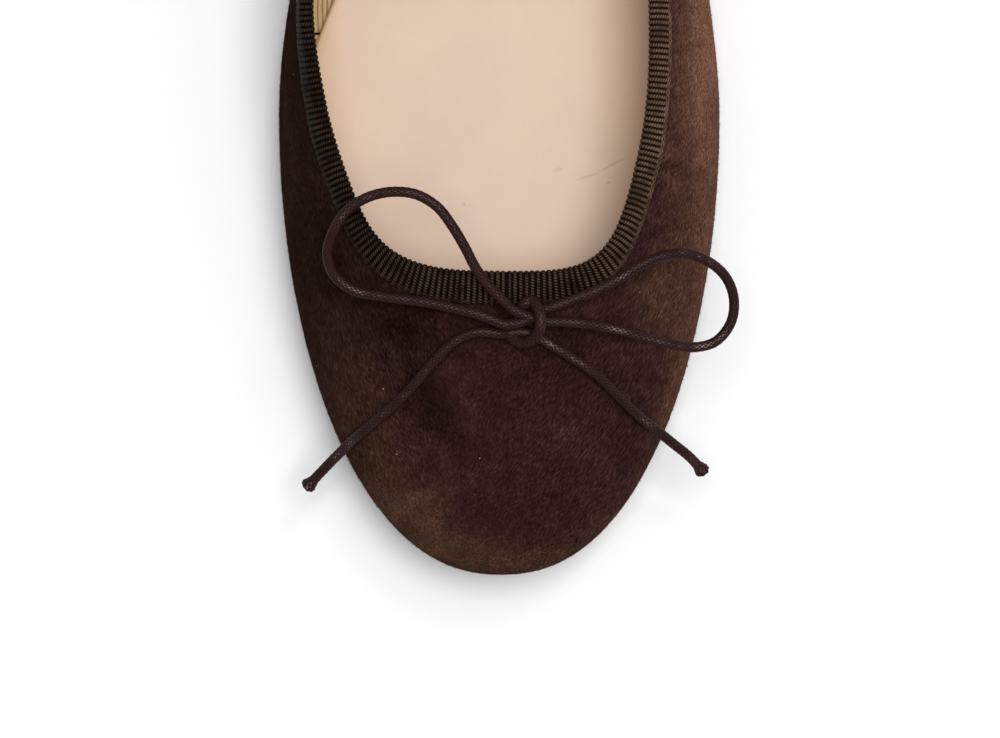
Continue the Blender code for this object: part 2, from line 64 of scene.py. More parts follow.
# The last, with the part's own sizes
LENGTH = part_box("upper")[1].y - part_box("upper")[0].y
BALL_WIDTH = 0.0866
HEEL_WIDTH = 0.060
THROAT_HEIGHT = 0.0355
SIDE_HEIGHT = 0.0325
BACK_HEIGHT = 0.060
BALL = 0.364
HEEL_CENTRE = 0.870
THROAT = 0.232
FLAT_FROM = 0.215
FLAT_TO = 0.425
SEAT_FROM = 0.750
HEEL_BREAST = 0.800
TOE_SPRING = 0.007
OUTSOLE_THICKNESS = 0.003
OUTSOLE_MARGIN = 0.0008
EDGE_ROUND = 0.0006
STACK_HEIGHT = 0.0062
LIFT_THICKNESS = 0.0028
HEEL_INSET = 0.0006
HEEL_TAPER = 0.0010
INSOLE_THICKNESS = 0.0020
INSOLE_GAP = 0.0010
CLEARANCE = 0.0003
WALL = 0.0015
FLANGE = 0.005
TOE_UNDERCUT = 0.0038
HEEL_UNDERCUT = 0.0042
BACK_LEAN = 0.004
BELLY_SHARE = 0.26
TAPE = 0.0005
LEG_OUTSIDE = 0.0024
LEG_AT_THROAT = 0.0048
LEG_INSIDE = 0.0034
KNOT_ACROSS = 0.0040
KNOT_AHEAD = 0.0087
LOOSE_SPACING = 2.4
KNOT_SPACING = 0.8
KNOT_STRAND = 0.0023

# How the widest line and the collar run from the ball to the heel centre.
# narrowing: 0 at the ball's half-width, 1 at the heel's. undercut (feather line) and lean (collar)
# are measured in from the widest line, as shares of half the ball width. rise: the collar's
# height, 0 at SIDE_HEIGHT and 1 at BACK_HEIGHT. plumb: how upright the wall arrives at the collar.
COLUMNS = ("station", "narrowing", "undercut", "lean", "rise", "plumb")
PROFILE = {
    -1: np.array((
        (0.364, 0.00, 0.070, 0.164, 0.00, 0.55),
        (0.453, 0.15, 0.170, 0.052, 0.05, 0.80),
        (0.567, 0.57, 0.245, 0.035, 0.13, 0.90),
        (0.668, 0.89, 0.175, 0.035, 0.29, 0.95),
        (0.769, 1.01, 0.105, 0.070, 0.51, 1.00),
        (0.870, 1.00, 0.085, 0.105, 0.75, 1.10),
    )),
    1: np.array((
        (0.364, 0.00, 0.080, 0.338, 0.00, 0.35),
        (0.453, 0.14, 0.085, 0.277, -0.02, 0.45),
        (0.567, 0.42, 0.105, 0.221, 0.04, 0.60),
        (0.668, 0.70, 0.115, 0.179, 0.18, 0.75),
        (0.769, 0.90, 0.100, 0.150, 0.41, 0.90),
        (0.870, 1.00, 0.085, 0.128, 0.68, 1.10),
    )),
}
TOE_FORM = (1.95, 2.25)
THROAT_FORM = {-1: (2.0, 3.15), 1: (2.0, 3.65)}
HEEL_FORM = (2.05, 2.15)
COLLAR_BACK_FORM = (2.0, 2.1)
# The guide points of the wall's columns, as shares: how high the one over the widest line stands,
# and how far in the one under the collar lies, less where the wall is plumb and more at the toe,
# where the columns arrive as upright as this
GUIDE_RISE = 0.36
GUIDE_REACH, PLUMB_REACH, TOE_REACH = 0.45, 0.12, 0.10
TOE_PLUMB = 1.35
# The stretch over which a line's slope is read
SLOPE_STEP = 0.0005

# The cord's route, in millimetres from the knot: across (+ lateral), back (+ to the heel) and
# height over the leather under the knot
LOOP_MEDIAL = (
    (-3.8, 3.7, 4.4), (-6.5, 6.3, 5.2), (-9.8, 10.4, 6.4), (-12.5, 15.3, 7.8), (-15.7, 20.2, 8.8),
    (-19.3, 23.8, 9.2), (-25.1, 25.2, 8.8), (-31.0, 24.0, 7.6), (-35.1, 21.1, 6.2), (-37.2, 17.4, 4.6),
    (-38.2, 13.1, 2.8), (-36.5, 9.0, 1.2), (-32.8, 6.5, 0.8), (-26.6, 5.3, 1.4), (-19.9, 4.4, 2.4),
    (-14.6, 3.3, 3.2), (-9.1, 1.9, 3.9), (-5.5, 0.5, 4.1),
)
LOOP_LATERAL = (
    (4.2, 3.2, 3.4), (7.5, 4.4, 3.6), (13.3, 6.7, 4.0), (17.7, 9.0, 4.2), (22.3, 11.8, 4.0),
    (26.3, 13.3, 3.4), (29.8, 13.8, 2.4), (33.8, 12.8, 1.0), (37.6, 10.3, -0.6), (39.6, 7.2, -2.0),
    (40.3, 3.7, -3.2), (39.4, -0.2, -4.0), (37.1, -2.9, -4.4), (33.9, -4.2, -4.2), (29.6, -3.9, -3.4),
    (25.1, -2.9, -2.0), (20.3, -1.6, -0.2), (15.5, -0.5, 1.4), (10.7, 0.3, 2.6), (7.2, 0.6, 3.2),
    (4.6, 0.6, 3.4),
)
END_MEDIAL = (
    (-4.9, -1.7, 1.3), (-8.3, -1.2, 1.2), (-13.1, -2.6, 0.5), (-16.6, -5.7, -0.5),
    (-20.2, -9.8, -2.1), (-23.8, -13.9, -4.1), (-28.2, -18.0, -7.5), (-33.1, -22.3, -13.4),
    (-37.6, -26.9, -17.5), (-41.7, -31.4, -21.4),
)
END_LATERAL = (
    (4.2, -3.5, 0.8), (6.9, -5.2, -0.2), (10.6, -7.3, -1.3), (14.2, -10.0, -2.9),
    (17.6, -13.2, -4.9), (21.3, -16.8, -7.4), (24.9, -19.5, -9.6), (28.5, -22.3, -12.2),
    (32.5, -25.3, -15.4), (35.7, -28.4, -18.4),
)
KNOT_WRAP = (
    (-1.5, 2.4, 1.6), (-0.7, 3.9, 1.8), (0.6, 4.6, 3.0), (1.8, 3.4, 4.7), (2.4, 1.4, 5.4),
    (2.2, -0.8, 5.3), (1.1, -2.6, 4.0), (-0.7, -3.4, 2.5), (-2.3, -2.9, 1.6), (-3.2, -2.1, 1.2),
)
# A direction that the wrap never runs along
WRAP_AXIS = (-0.61, 0.07, 0.79)
# The strands under the wrap: three run on from a loop or end to the next, and one fills the middle
KNOT_STRANDS = (
    ((-3.4, 3.2, 4.3), (-0.6, 1.8, 3.9), (3.1, 0.6, 3.4)),
    ((-4.5, 0.1, 4.0), (-0.8, 0.6, 3.5), (3.2, 2.9, 3.3)),
    ((-4.0, -1.6, 1.7), (-0.6, -1.4, 2.0), (3.1, -2.9, 1.6)),
    ((-2.6, 1.4, 1.6), (0.4, 0.8, 1.7), (2.8, -1.2, 1.6)),
)

# Soft creases in the suede: across and along the shoe in millimetres (along is the distance
# from the toe tip), heading in degrees from the shoe's length, half-length, half-width, and
# height in millimetres, negative for a trough
CREASES = (
    (-12.0, 27.0, -22.0, 9.0, 3.4, -0.35),
    (-19.0, 46.0, 30.0, 13.0, 3.0, -0.30),
    (-30.0, 62.0, 12.0, 14.0, 2.6, -0.30),
    (-35.0, 82.0, 4.0, 18.0, 2.2, -0.28),
    (-38.0, 104.0, 0.0, 20.0, 2.4, 0.25),
    (20.0, 52.0, -30.0, 12.0, 3.2, -0.30),
    (31.0, 62.0, -10.0, 13.0, 2.6, -0.32),
    (36.0, 86.0, -4.0, 20.0, 2.2, -0.30),
    (33.0, 100.0, -3.0, 18.0, 2.0, 0.25),
    (2.0, 20.0, 80.0, 12.0, 4.5, 0.22),
    (22.0, 30.0, -38.0, 10.0, 4.0, -0.22),
)
CREASE_HEIGHT = 5

# Patches where the nap lies another way, and painted light and shade: the long rows far out on the
# lateral side paint it up to two stops lighter and warmer as if lit, and the long rows far out on
# the medial side paint it darker as shade, also beside the medial loop. Across and along in
# millimetres, heading in degrees, half-length, half-width, how many stops lighter (+) or darker (-)
# they look, and how much warmer
NAP_AND_PAINTED_LIGHT_PATCHES = (
    (6.0, 24.0, 10.0, 22.0, 17.0, -0.05, -0.45),
    (24.0, 38.0, -22.0, 16.0, 9.0, 0.10, -0.20),
    (-13.5, 33.0, -28.0, 9.0, 3.6, -1.10, 0.00),
    (-16.0, 52.0, 40.0, 12.0, 5.0, -0.80, 0.00),
    (-27.0, 56.0, -20.0, 17.0, 8.0, -0.95, 0.25),
    (-27.0, 33.0, -20.0, 15.0, 5.0, -0.30, 0.75),
    (-24.0, 12.0, -48.0, 17.0, 6.0, 0.10, 0.95),
    (2.0, 4.0, 90.0, 22.0, 4.0, 0.25, 0.80),
    (27.0, 13.0, 44.0, 16.0, 5.0, 0.35, 0.60),
    (36.5, 44.0, 18.0, 20.0, 3.0, 0.55, 0.90),
    (30.0, 52.0, 10.0, 12.0, 5.0, 0.38, 0.55),
    (41.0, 122.0, 0.0, 76.0, 7.8, 1.95, 0.95),
    (33.0, 202.0, 0.0, 48.0, 11.0, 1.55, 0.85),
    (36.0, 64.0, -6.0, 14.0, 3.0, -0.35, 0.30),
    (-38.0, 128.0, 0.0, 76.0, 9.0, -1.70, 0.35),
    (-31.0, 210.0, 0.0, 40.0, 10.0, -0.50, 0.30),
    (-40.5, 66.0, 6.0, 16.0, 3.6, -0.50, 0.35),
    (14.0, 46.0, 76.0, 16.0, 4.0, -0.45, 0.00),
    (-12.0, 15.0, 60.0, 11.0, 4.0, 0.10, 0.35),
)
PATCH_STOPS, PATCH_WARMTH = 5, 6

# Faint creases and flecks in the insole: across, along, heading, half-length, half-width
SOCK_MARKS = (
    (22.6, 80.4, 62.0, 4.6, 0.55), (17.4, 78.0, 74.0, 3.2, 0.50), (-9.0, 118.0, -35.0, 3.5, 0.45),
    (11.8, 79.5, 60.0, 1.0, 0.45), (21.8, 76.9, 90.0, 0.6, 0.45), (-6.9, 72.6, 0.0, 0.5, 0.45),
)
# Where the insole is painted warmer and deeper, as the warm shade near the walls and the throat,
# in the same columns
SOCK_WARM_SHADE = (
    (31.0, 100.0, 0.0, 75.0, 18.0), (-37.5, 110.0, 0.0, 90.0, 13.0), (4.0, 48.0, 90.0, 34.0, 20.0),
)

# The camera looks down over the toe: its place aside of the middle line, back from the toe tip and
# up from the floor, the height that it aims at, and its lens in widths of the sensor
CAMERA_ASIDE = -0.0459
CAMERA_BACK = 0.0402
CAMERA_HEIGHT = 0.9
CAMERA_AIM = 0.012
CAMERA_LENS = 4.529
SENSOR = 36.0

# The floor lies just under the shoe. The lamps stand in these directions, and the sky's strength
# runs from the inner side's share to the outer side's
FLOOR_REACH = 3.0
FLOOR_DROP = 0.0002
KEY_FROM = (0.09, 0.09, 0.99)
SPARK_FROM = (0.28, 0.50, 0.82)
SPARK_SPREAD = math.radians(10.0)
SKY_INNER, SKY_OUTER = 0.75, 1.15

# The cords' meshes: points on a route's stretch, the step along the cord, the sides of its
# section, its strands of each hand, and how far up a cut end the fraying shows
ROUTE_STEPS = 12
CORD_STEP = 0.00015
CORD_SIDES = 32
BRAID = 8
FLARE_LENGTH = 0.0014

# Repeats in the materials, in millimetres: the tape's thread, the lining's rib, the heel's layer
THREAD_PITCH = 0.56
CLOTH_RIB = 0.95
HEEL_LAYER = 1.55


def colour_setting(name, description, *channels):
    return bpy.props.FloatVectorProperty(name=name, description=description, subtype="COLOR",
                                         size=3, min=0, max=1, default=channels)


def length_setting(name, description, metres, least=0.0):
    return bpy.props.FloatProperty(name=name, description=description, unit="LENGTH",
                                   precision=5, min=least, default=metres)


def strength_setting(name, description, strength):
    return bpy.props.FloatProperty(name=name, description=description, min=0, default=strength)


class StageSettings(bpy.types.PropertyGroup):
    floor: colour_setting("Floor", "Colour of the floor", 0.775, 0.775, 0.78)
    sky: strength_setting("Sky", "Strength of the soft light from all round", 0.45)
    key: strength_setting("Key light", "Strength of the large lamp over the shoe", 2.75)
    key_spread: bpy.props.FloatProperty(
        name="Key spread", description="How wide the large lamp looks from the shoe",
        default=math.radians(38.0), min=0, subtype="ANGLE")
    spark: strength_setting("Small lamp", "Strength of the small lamp that makes the wax glint", 0.25)


class SuedeSettings(bpy.types.PropertyGroup):
    plum: colour_setting("Plum", "Colour where the nap lies flat", 0.0275, 0.0104, 0.0106)
    # The warm brown also shows where the lateral side is painted as lit
    warm: colour_setting("Warm", "Colour where the nap stands up, and where the side is painted as lit", 0.0455, 0.0215, 0.0142)
    lint: colour_setting("Lint", "Colour of the rare pale specks", 0.42, 0.31, 0.27)
    skin: length_setting("Thickness", "Thickness of the suede", 0.0007, 0.0002)
    nap_length: length_setting("Nap length", "Mean length of a fibre", 0.00052, 0.0001)
    nap_count: bpy.props.IntProperty(
        name="Nap fibres", description="Number of fibres that are modelled", default=48000, min=0)


class TapeSettings(bpy.types.PropertyGroup):
    rib_pitch: length_setting("Rib pitch", "Distance from rib to rib", 0.0011, 0.0004)
    rib_depth: length_setting("Rib depth", "Height of a rib over the gaps", 0.00030)
    rib: colour_setting("Rib", "Colour of the ribs between their threads", 0.0195, 0.0098, 0.0062)
    # The threads' colour, shown brightest at their painted glints
    thread: colour_setting("Thread", "Colour of the threads on top of the ribs", 0.082, 0.049, 0.031)
    # Painted shade between the ribs and in the stitch holes
    gap: colour_setting("Shaded gap", "Colour between the ribs", 0.0040, 0.0022, 0.0015)
    # Painted light: the threads' paler colour on the lateral side, as if lit
    paler: colour_setting("Paler thread in painted light", "Colour of the threads on the outer side", 0.275, 0.165, 0.108)


class CordSettings(bpy.types.PropertyGroup):
    diameter: length_setting("Diameter", "Thickness of the bow's cord", 0.0020, 0.0005)
    braid_pitch: length_setting("Braid pitch", "Distance between crossings along the cord",
                                0.00118, 0.0003)
    braid_depth: length_setting("Braid depth", "Height of the strands over their crossings", 0.00012)
    wax: colour_setting("Cord", "Colour of the waxed strands", 0.0235, 0.0092, 0.0088)
    # Painted highlight: the pale colour of the glints along the cord's top
    painted_top_glint: colour_setting("Painted glint", "Colour of the glints painted pale along the cord's top",
                           0.36, 0.235, 0.235)


class InsideSettings(bpy.types.PropertyGroup):
    sock: colour_setting("Sock", "Colour of the insole's leather", 0.542, 0.402, 0.298)
    vamp: colour_setting("Vamp lining", "Colour of the leather lining", 0.68, 0.43, 0.23)
    quarter: colour_setting("Quarter lining", "Colour of the ribbed cloth lining", 0.52, 0.37, 0.19)


class BottomSettings(bpy.types.PropertyGroup):
    sole: colour_setting("Sole", "Colour of the sole leather", 0.088, 0.048, 0.028)
    heel: colour_setting("Heel", "Colour of the stacked heel", 0.050, 0.029, 0.020)
    rubber: colour_setting("Rubber", "Colour of the top lift", 0.020, 0.018, 0.017)


class Value:
    """A number's socket. Sums and products of it in Python add their Math nodes."""

    def __init__(self, finish, socket):
        self.finish = finish
        self.socket = socket

    def math(self, operation, *others):
        sockets = dict(enumerate((self, *others)))
        return self.finish.value("ShaderNodeMath", {"operation": operation}, sockets)

    def __add__(self, other):
        return self.math("ADD", other)

    def __sub__(self, other):
        return self.math("SUBTRACT", other)

    def __rsub__(self, other):
        return self.math("MULTIPLY_ADD", -1.0, other)

    def __mul__(self, other):
        return self.math("MULTIPLY", other)

    def __pow__(self, other):
        return self.math("POWER", other)

    def fraction(self):
        return self.math("FRACT")

    def wave(self):
        """|sin| of half a turn for each unit."""
        return (self * math.pi).math("SINE").math("ABSOLUTE")

    __radd__ = __add__
    __rmul__ = __mul__


class Finish:
    """One material: its shader, and short ways to make and join its nodes."""

    def __init__(self, name, **shader):
        self.material = bpy.data.materials.new(name)
        self.material.use_nodes = True
        self.nodes = self.material.node_tree.nodes
        self.links = self.material.node_tree.links
        self.shader = self.nodes["Principled BSDF"]
        self.set(**shader)

    def set(self, **sockets):
        """Values or links of the shader's sockets, named with _ for the spaces."""
        self.fill(self.shader, {name.replace("_", " "): value for name, value in sockets.items()})

    def fill(self, node, sockets):
        for name, value in sockets.items():
            if isinstance(value, Value):
                value = value.socket
            if isinstance(value, bpy.types.NodeSocket):
                self.links.new(value, node.inputs[name])
            else:
                node.inputs[name].default_value = value

    def node(self, kind, settings=None, sockets=None):
        """Any node: its settings first, then its sockets."""
        node = self.nodes.new(kind)
        for name, value in (settings or {}).items():
            setattr(node, name, value)
        self.fill(node, sockets or {})
        return node

    def value(self, kind, settings=None, sockets=None, output=0):
        return Value(self, self.node(kind, settings, sockets).outputs[output])

    def place(self):
        """Object coordinates, in metres."""
        return self.node("ShaderNodeTexCoord").outputs["Object"]

    def coordinate(self, axis):
        return self.value("ShaderNodeSeparateXYZ", None, {0: self.place()}, axis)

    def mapped(self, size, turn=0.0, centre=(0.0, 0.0, 0.0)):
        """Coordinates that count cells of that size, along axes turned about Z."""
        sockets = {"Vector": self.place(), "Scale": size, "Rotation": (0.0, 0.0, turn),
                   "Location": centre}
        return self.node("ShaderNodeMapping", {"vector_type": "TEXTURE"}, sockets).outputs[0]

    def grained(self, repeats, turn=0.0, detail=2.0, rough=0.6):
        """Noise with its own number of repeats a metre along each axis."""
        at = self.mapped(tuple(1.0 / each for each in repeats), turn)
        return self.noise(1.0, detail, rough, at)

    def chart(self):
        """The two numbers of the piece's own UV map."""
        source = self.node("ShaderNodeUVMap", {"uv_map": "chart"}).outputs[0]
        split = self.node("ShaderNodeSeparateXYZ", None, {0: source})
        return Value(self, split.outputs[0]), Value(self, split.outputs[1])

    def attribute(self, name):
        return self.value("ShaderNodeAttribute", {"attribute_name": name}, None, "Fac")

    def noise(self, scale, detail=2.0, rough=0.55, at=None, bend=0.0):
        sockets = {"Vector": at or self.place(), "Scale": scale, "Detail": detail,
                   "Roughness": rough, "Distortion": bend}
        return self.value("ShaderNodeTexNoise", None, sockets)

    def mark(self, across, along, heading, half_length, half_width):
        """A given line, 1 in its middle and 0 at its ends and sides. Millimetres across and
        back from the toe; the heading turns from lengthwise to the lateral side."""
        at = self.mapped((half_width / 1000.0, half_length / 1000.0, 1.0), -math.radians(heading),
                         (across / 1000.0, along / 1000.0 - LENGTH / 2, 0.0))
        return self.value("ShaderNodeTexGradient", {"gradient_type": "SPHERICAL"}, {"Vector": at}, 1)

    def specks(self, repeats, size):
        """Rare round specks: the cell centres that lie in the surface."""
        sockets = {"Vector": self.place(), "Scale": repeats}
        near = self.value("ShaderNodeTexVoronoi", None, sockets, "Distance")
        return 1.0 - self.ease(near, size * 0.3, size)

    def ease(self, value, low, high):
        """0 below low, 1 above high and a smooth step between them."""
        settings = {"interpolation_type": "SMOOTHSTEP"}
        sockets = {"Value": value, "From Min": low, "From Max": high}
        return self.value("ShaderNodeMapRange", settings, sockets)

    def mix(self, factor, first, second):
        """Colours mixed by a factor."""
        def colour(item):
            return item if isinstance(item, bpy.types.NodeSocket) else (*item, 1.0)
        node = self.node("ShaderNodeMix", {"data_type": "RGBA"},
                         {0: factor, 6: colour(first), 7: colour(second)})
        return node.outputs[2]

    def scale(self, colour, factor):
        """A colour made lighter or darker by a factor."""
        sockets = {0: colour, "Scale": factor}
        return self.node("ShaderNodeVectorMath", {"operation": "SCALE"}, sockets).outputs[0]

    def by_stops(self, colour, stops):
        """A colour made lighter or darker by stops of light."""
        return self.scale(colour, (stops * math.log(2.0)).math("EXPONENT"))

    def bump(self, height, distance, strength):
        sockets = {"Height": height, "Distance": distance, "Strength": strength}
        return self.node("ShaderNodeBump", None, sockets).outputs[0]


def dimmed(colour, factor):
    return tuple(channel * factor for channel in colour)


def suede_finish(settings):
    """Brushed suede: soft patches where the nap turns, with painted light and shade (the lateral side
    lighter and warmer, the medial side darker), lengthwise streaks and a fine grain, all in stops of
    light on a plum and a warm brown."""
    finish = Finish("suede_plum", Specular_IOR_Level=0.0, Sheen_Weight=0.02, Sheen_Roughness=0.4,
                    Sheen_Tint=(1.0, 0.62, 0.50, 1.0))
    tone = finish.attribute("tone")
    warmth = finish.attribute("warmth")
    cloud = finish.noise(75.0, 3.0, 0.6, bend=0.6) - 0.5
    blotch = finish.noise(300.0, 4.0, 0.65) - 0.5
    streak = finish.grained((620.0, 110.0, 620.0), -0.12, 3.0) - 0.5
    outer = finish.ease(finish.coordinate(0) + cloud * 0.05, -0.022, 0.004)
    grain, strokes = (finish.grained((3800.0, 760.0, 3800.0), turn) for turn in (0.30, -0.50))
    grain = grain * (1.0 - outer) + strokes * outer - 0.5
    # Painted light and shade: the patches' stops light the lateral side and darken the medial side
    light = tone - 0.20 + cloud * 1.5 + blotch * 1.4 + streak * 0.8 + grain * 5.8
    warm = finish.ease(warmth + cloud * 0.9 + blotch * 0.7, -0.35, 0.85)
    colour = finish.by_stops(finish.mix(warm, settings.plum, settings.warm), light)
    finish.set(Base_Color=finish.mix(finish.specks(150.0, 0.034) * 0.7, colour, settings.lint),
               Roughness=0.92 - grain * 0.1,
               Normal=finish.bump(grain + blotch * 0.5, 0.00035, 0.7))
    return finish.material


def nap_finish(settings):
    """Single fibres of the same suede, glossier, and painted a little lighter at random, partly as their
    own paler colour and partly as painted glints; they take the suede's painted light and shade too.
    """
    finish = Finish("suede_fibres", Roughness=0.8, Specular_IOR_Level=0.0)
    warm = finish.ease(finish.attribute("warmth") + finish.noise(75.0, 3.0) * 0.9, 0.0, 1.2)
    colour = finish.mix(warm, settings.plum, settings.warm)
    # Partly painted glints: each fibre lighter by a random number of stops
    light = finish.attribute("tone") + (finish.noise(1100.0, 1.0) - 0.30) * 4.0
    finish.set(Base_Color=finish.by_stops(colour, light))
    return finish.material


def tape_finish(settings):
    """Grosgrain: gaps painted dark as shade, ribs of twisted thread with painted glints on their tops,
    and a browner selvedge with a dot painted dark for each stitch hole. The lateral side is painted
    paler as if lit and the medial side darker as if shaded. The chart counts ribs along the tape and
    millimetres in from its outer edge."""
    finish = Finish("grosgrain_brown", Specular_IOR_Level=0.03)
    rib, inward = finish.chart()
    top = rib.wave()
    number = rib.math("FLOOR")
    across = (rib - number - 0.5) * 2.0
    strand = (inward * (1.0 / THREAD_PITCH) + across * 0.42 + (number * 0.731).fraction()).wave()
    glint_and_wear_noise = finish.noise(500.0, 3.0, 0.6)
    crown = finish.ease(top, 0.28, 0.82)
    slow = finish.noise(140.0, 2.0)
    # Painted glints on the threads over the ribs' tops, in uneven patches
    glint = finish.ease(strand * crown + (glint_and_wear_noise + slow - 1.0) * 1.5, 0.45, 1.1)
    across_shoe = finish.coordinate(0)
    # Painted light: towards the lateral side the threads, the gaps and the selvedge grow paler, as if
    # lit
    paler = finish.ease(across_shoe, 0.012, 0.042)
    thread = finish.mix(paler, settings.thread, settings.paler)
    rib_body = finish.mix(paler, settings.rib, settings.thread)
    # Painted shade: the gaps between the ribs are much darker than the ribs
    gap = finish.mix(paler * 0.8, settings.gap, settings.rib)
    body = finish.mix(crown, gap, finish.mix(glint, rib_body, thread))
    edge = (1.0 - finish.ease(inward, 0.40, 0.95)) * (0.3 + paler * 0.7)
    # Painted shade: a dark dot in each stitch hole of the selvedge
    dot = 1.0 - finish.ease((across * across + ((inward - 0.45) * 3.2) ** 2.0) ** 0.5, 0.3, 0.8)
    selvedge = finish.mix(finish.ease(glint_and_wear_noise, 0.3, 0.7), rib_body, thread)
    height = strand * crown + (1.0 - dot) * edge * 0.6
    # Painted shade: the whole tape grows darker towards the medial side
    body = finish.scale(body, finish.ease(across_shoe, -0.036, -0.008) * 0.42 + 0.46)
    finish.set(Base_Color=finish.mix(edge, body, finish.mix(dot, selvedge, settings.gap)),
               Roughness=0.60 - glint * 0.22,
               Normal=finish.bump(height, 0.00026, 0.9))
    return finish.material


def cord_finish(settings):
    """Waxed braid: each diamond between two spirals shows a strand of one hand or the other, long in its
    own direction. The hollows between the strands are painted darker as shade, and pale dashes along
    the cord's top are painted glints. The chart runs round the cord from 0 to 1 and along it in
    millimetres."""
    finish = Finish("waxed_cord", Specular_IOR_Level=0.03, Coat_Roughness=0.24)
    around, along = finish.chart()
    step = along * (0.001 / settings.braid_pitch)
    first, second = around * float(BRAID) + step, around * float(BRAID) - step
    hand = ((first.math("FLOOR") + second.math("FLOOR")) * 0.5).fraction() * 2.0
    narrow = first.wave() * (1.0 - hand) + second.wave() * hand
    wide = second.wave() * (1.0 - hand) + first.wave() * hand
    raised = finish.ease(narrow * wide ** 0.35, 0.0, 0.75)
    patch = finish.noise(330.0, 3.0)
    paler = finish.mix(finish.ease(patch, 0.4, 0.8), settings.wax, dimmed(settings.wax, 1.35))
    # Painted glints: pale dashes on the strands along the cord's top
    top = finish.ease((around - 0.5).math("ABSOLUTE"), 0.40, 0.49)
    painted_top_glint = top * finish.ease(narrow, 0.70, 1.0) * finish.ease(finish.noise(120.0, 4.0), 0.52, 0.70)
    paler = finish.mix(painted_top_glint * 0.62, paler, settings.painted_top_glint)
    # Painted shade: where the strands sink between crossings the wax is darker
    finish.set(Base_Color=finish.mix(finish.ease(raised, 0.15, 0.85), dimmed(settings.wax, 0.62), paler),
               Roughness=0.52 - raised * 0.18,
               Coat_Weight=finish.ease(raised + patch * 0.9, 0.95, 1.5) * 0.22,
               Normal=finish.bump(raised, 0.00005, 0.6))
    return finish.material


def leather_finish(name, colour, rough, grain, depth, contrast=0.10, specks=0.0, marks=(),
                   edges=(), gloss=0.45):
    """Smooth leather: slow clouds, fine pores, a few darker flecks, rare round specks, and creases and
    warmer edges painted as warm shade, where their tables have them."""
    finish = Finish(name, Specular_IOR_Level=gloss)
    cloud = finish.noise(45.0, 4.0, 0.55)
    fine = finish.noise(900.0, 3.0, 0.6)
    pores = finish.value("ShaderNodeTexVoronoi", {"feature": "F1"},
                         {"Vector": finish.place(), "Scale": grain, "Randomness": 1.0}, "Distance")
    pit = 1.0 - finish.ease(pores, 0.05, 0.32)
    fleck = finish.ease(finish.noise(520.0, 2.0, 0.5), 0.66, 0.74)
    deep = dimmed(colour, 1.0 - 2.2 * contrast)
    tint = finish.mix(finish.ease(cloud + fine * 0.25, 0.35, 0.85), deep, colour)
    tint = finish.mix(fleck * 0.35 + pit * contrast * 0.5, tint, deep)
    crease = sum((finish.ease(finish.mark(*row), 0.0, 0.9) for row in marks), 0.0)
    warm_shade = sum((finish.ease(finish.mark(*row), 0.0, 1.0) for row in edges), 0.0)
    # Painted shade: a warmer, deeper tint where the edge table lays it
    tint = finish.mix(warm_shade, tint, (colour[0], colour[1] * 0.90, colour[2] * 0.76))
    tint = finish.mix(finish.specks(105.0, 0.05) * specks + crease * 0.11, tint, dimmed(colour, 0.25))
    finish.set(Base_Color=tint, Roughness=fine * 0.12 + rough - 0.06,
               Normal=finish.bump(fine * 0.5 - pit * 0.3 - crease * 3.5, depth, 0.5))
    return finish.material


def ribbed_cloth_finish(colour):
    """Ribbed cloth lining, the grooves between its ribs painted darker as shade, unevenly. The chart
    holds millimetres along the shoe and up the wall.
    """
    finish = Finish("quarter_cloth", Specular_IOR_Level=0.2, Sheen_Weight=0.15)
    along, up = finish.chart()
    rib = (up * (1.0 / CLOTH_RIB)).wave()
    yarn = (along * 1.9 + up * 0.6).wave()
    # Painted shade: darker between the ribs, unevenly by a noise
    paler = finish.ease(rib + finish.noise(500.0) * 0.4, 0.25, 1.1)
    tint = finish.mix(paler, dimmed(colour, 0.55), colour)
    finish.set(Base_Color=tint, Roughness=0.9 - rib * 0.08,
               Normal=finish.bump(rib + yarn * 0.3, 0.0003, 0.8))
    return finish.material


def stacked_finish(settings):
    """Heel leather in thin layers, each with its own shade."""
    finish = Finish("heel_leather", Specular_IOR_Level=0.2)
    layer = finish.coordinate(2) * (1000.0 / HEEL_LAYER)
    line = finish.ease((layer.fraction() - 0.5).math("ABSOLUTE"), 0.40, 0.5)
    shade = finish.grained((60.0, 60.0, 640.0), rough=0.5)
    body = finish.mix(shade, settings.heel, dimmed(settings.heel, 1.4))
    finish.set(Base_Color=finish.mix(line, body, dimmed(settings.heel, 0.35)),
               Roughness=shade * 0.2 + 0.38,
               Normal=finish.bump(1.0 - line, 0.0002, 0.6))
    return finish.material


def rubber_finish(settings):
    """Matt rubber with a fine pebble."""
    finish = Finish("heel_rubber", Specular_IOR_Level=0.3)
    fine = finish.noise(1600.0, 2.0)
    finish.set(Base_Color=finish.mix(fine * 0.6, settings.rubber, dimmed(settings.rubber, 1.8)),
               Roughness=fine * 0.15 + 0.72, Normal=finish.bump(fine, 0.0002, 0.5))
    return finish.material


def floor_finish(settings):
    """Plain pale paper."""
    finish = Finish("plain_paper", Roughness=0.95, Specular_IOR_Level=0.0)
    tooth = finish.noise(300.0, 2.0)
    finish.set(Base_Color=finish.mix(tooth, dimmed(settings.floor, 0.985), settings.floor))
    return finish.material


def smoothstep(share):
    share = np.clip(share, 0.0, 1.0)
    return share * share * (3.0 - 2.0 * share)


def unit(vectors):
    return vectors / np.linalg.norm(vectors, axis=-1, keepdims=True)


def quarter_turn(turns, start=0.0):
    """The angle that grows from 0 to a right angle over one turn from the start."""
    return np.clip(turns - start, 0.0, 1.0) * math.pi / 2


def distances(points):
    """How far along a line of points each one lies."""
    return np.concatenate([[0.0], np.cumsum(np.linalg.norm(np.diff(points, axis=0), axis=1))])


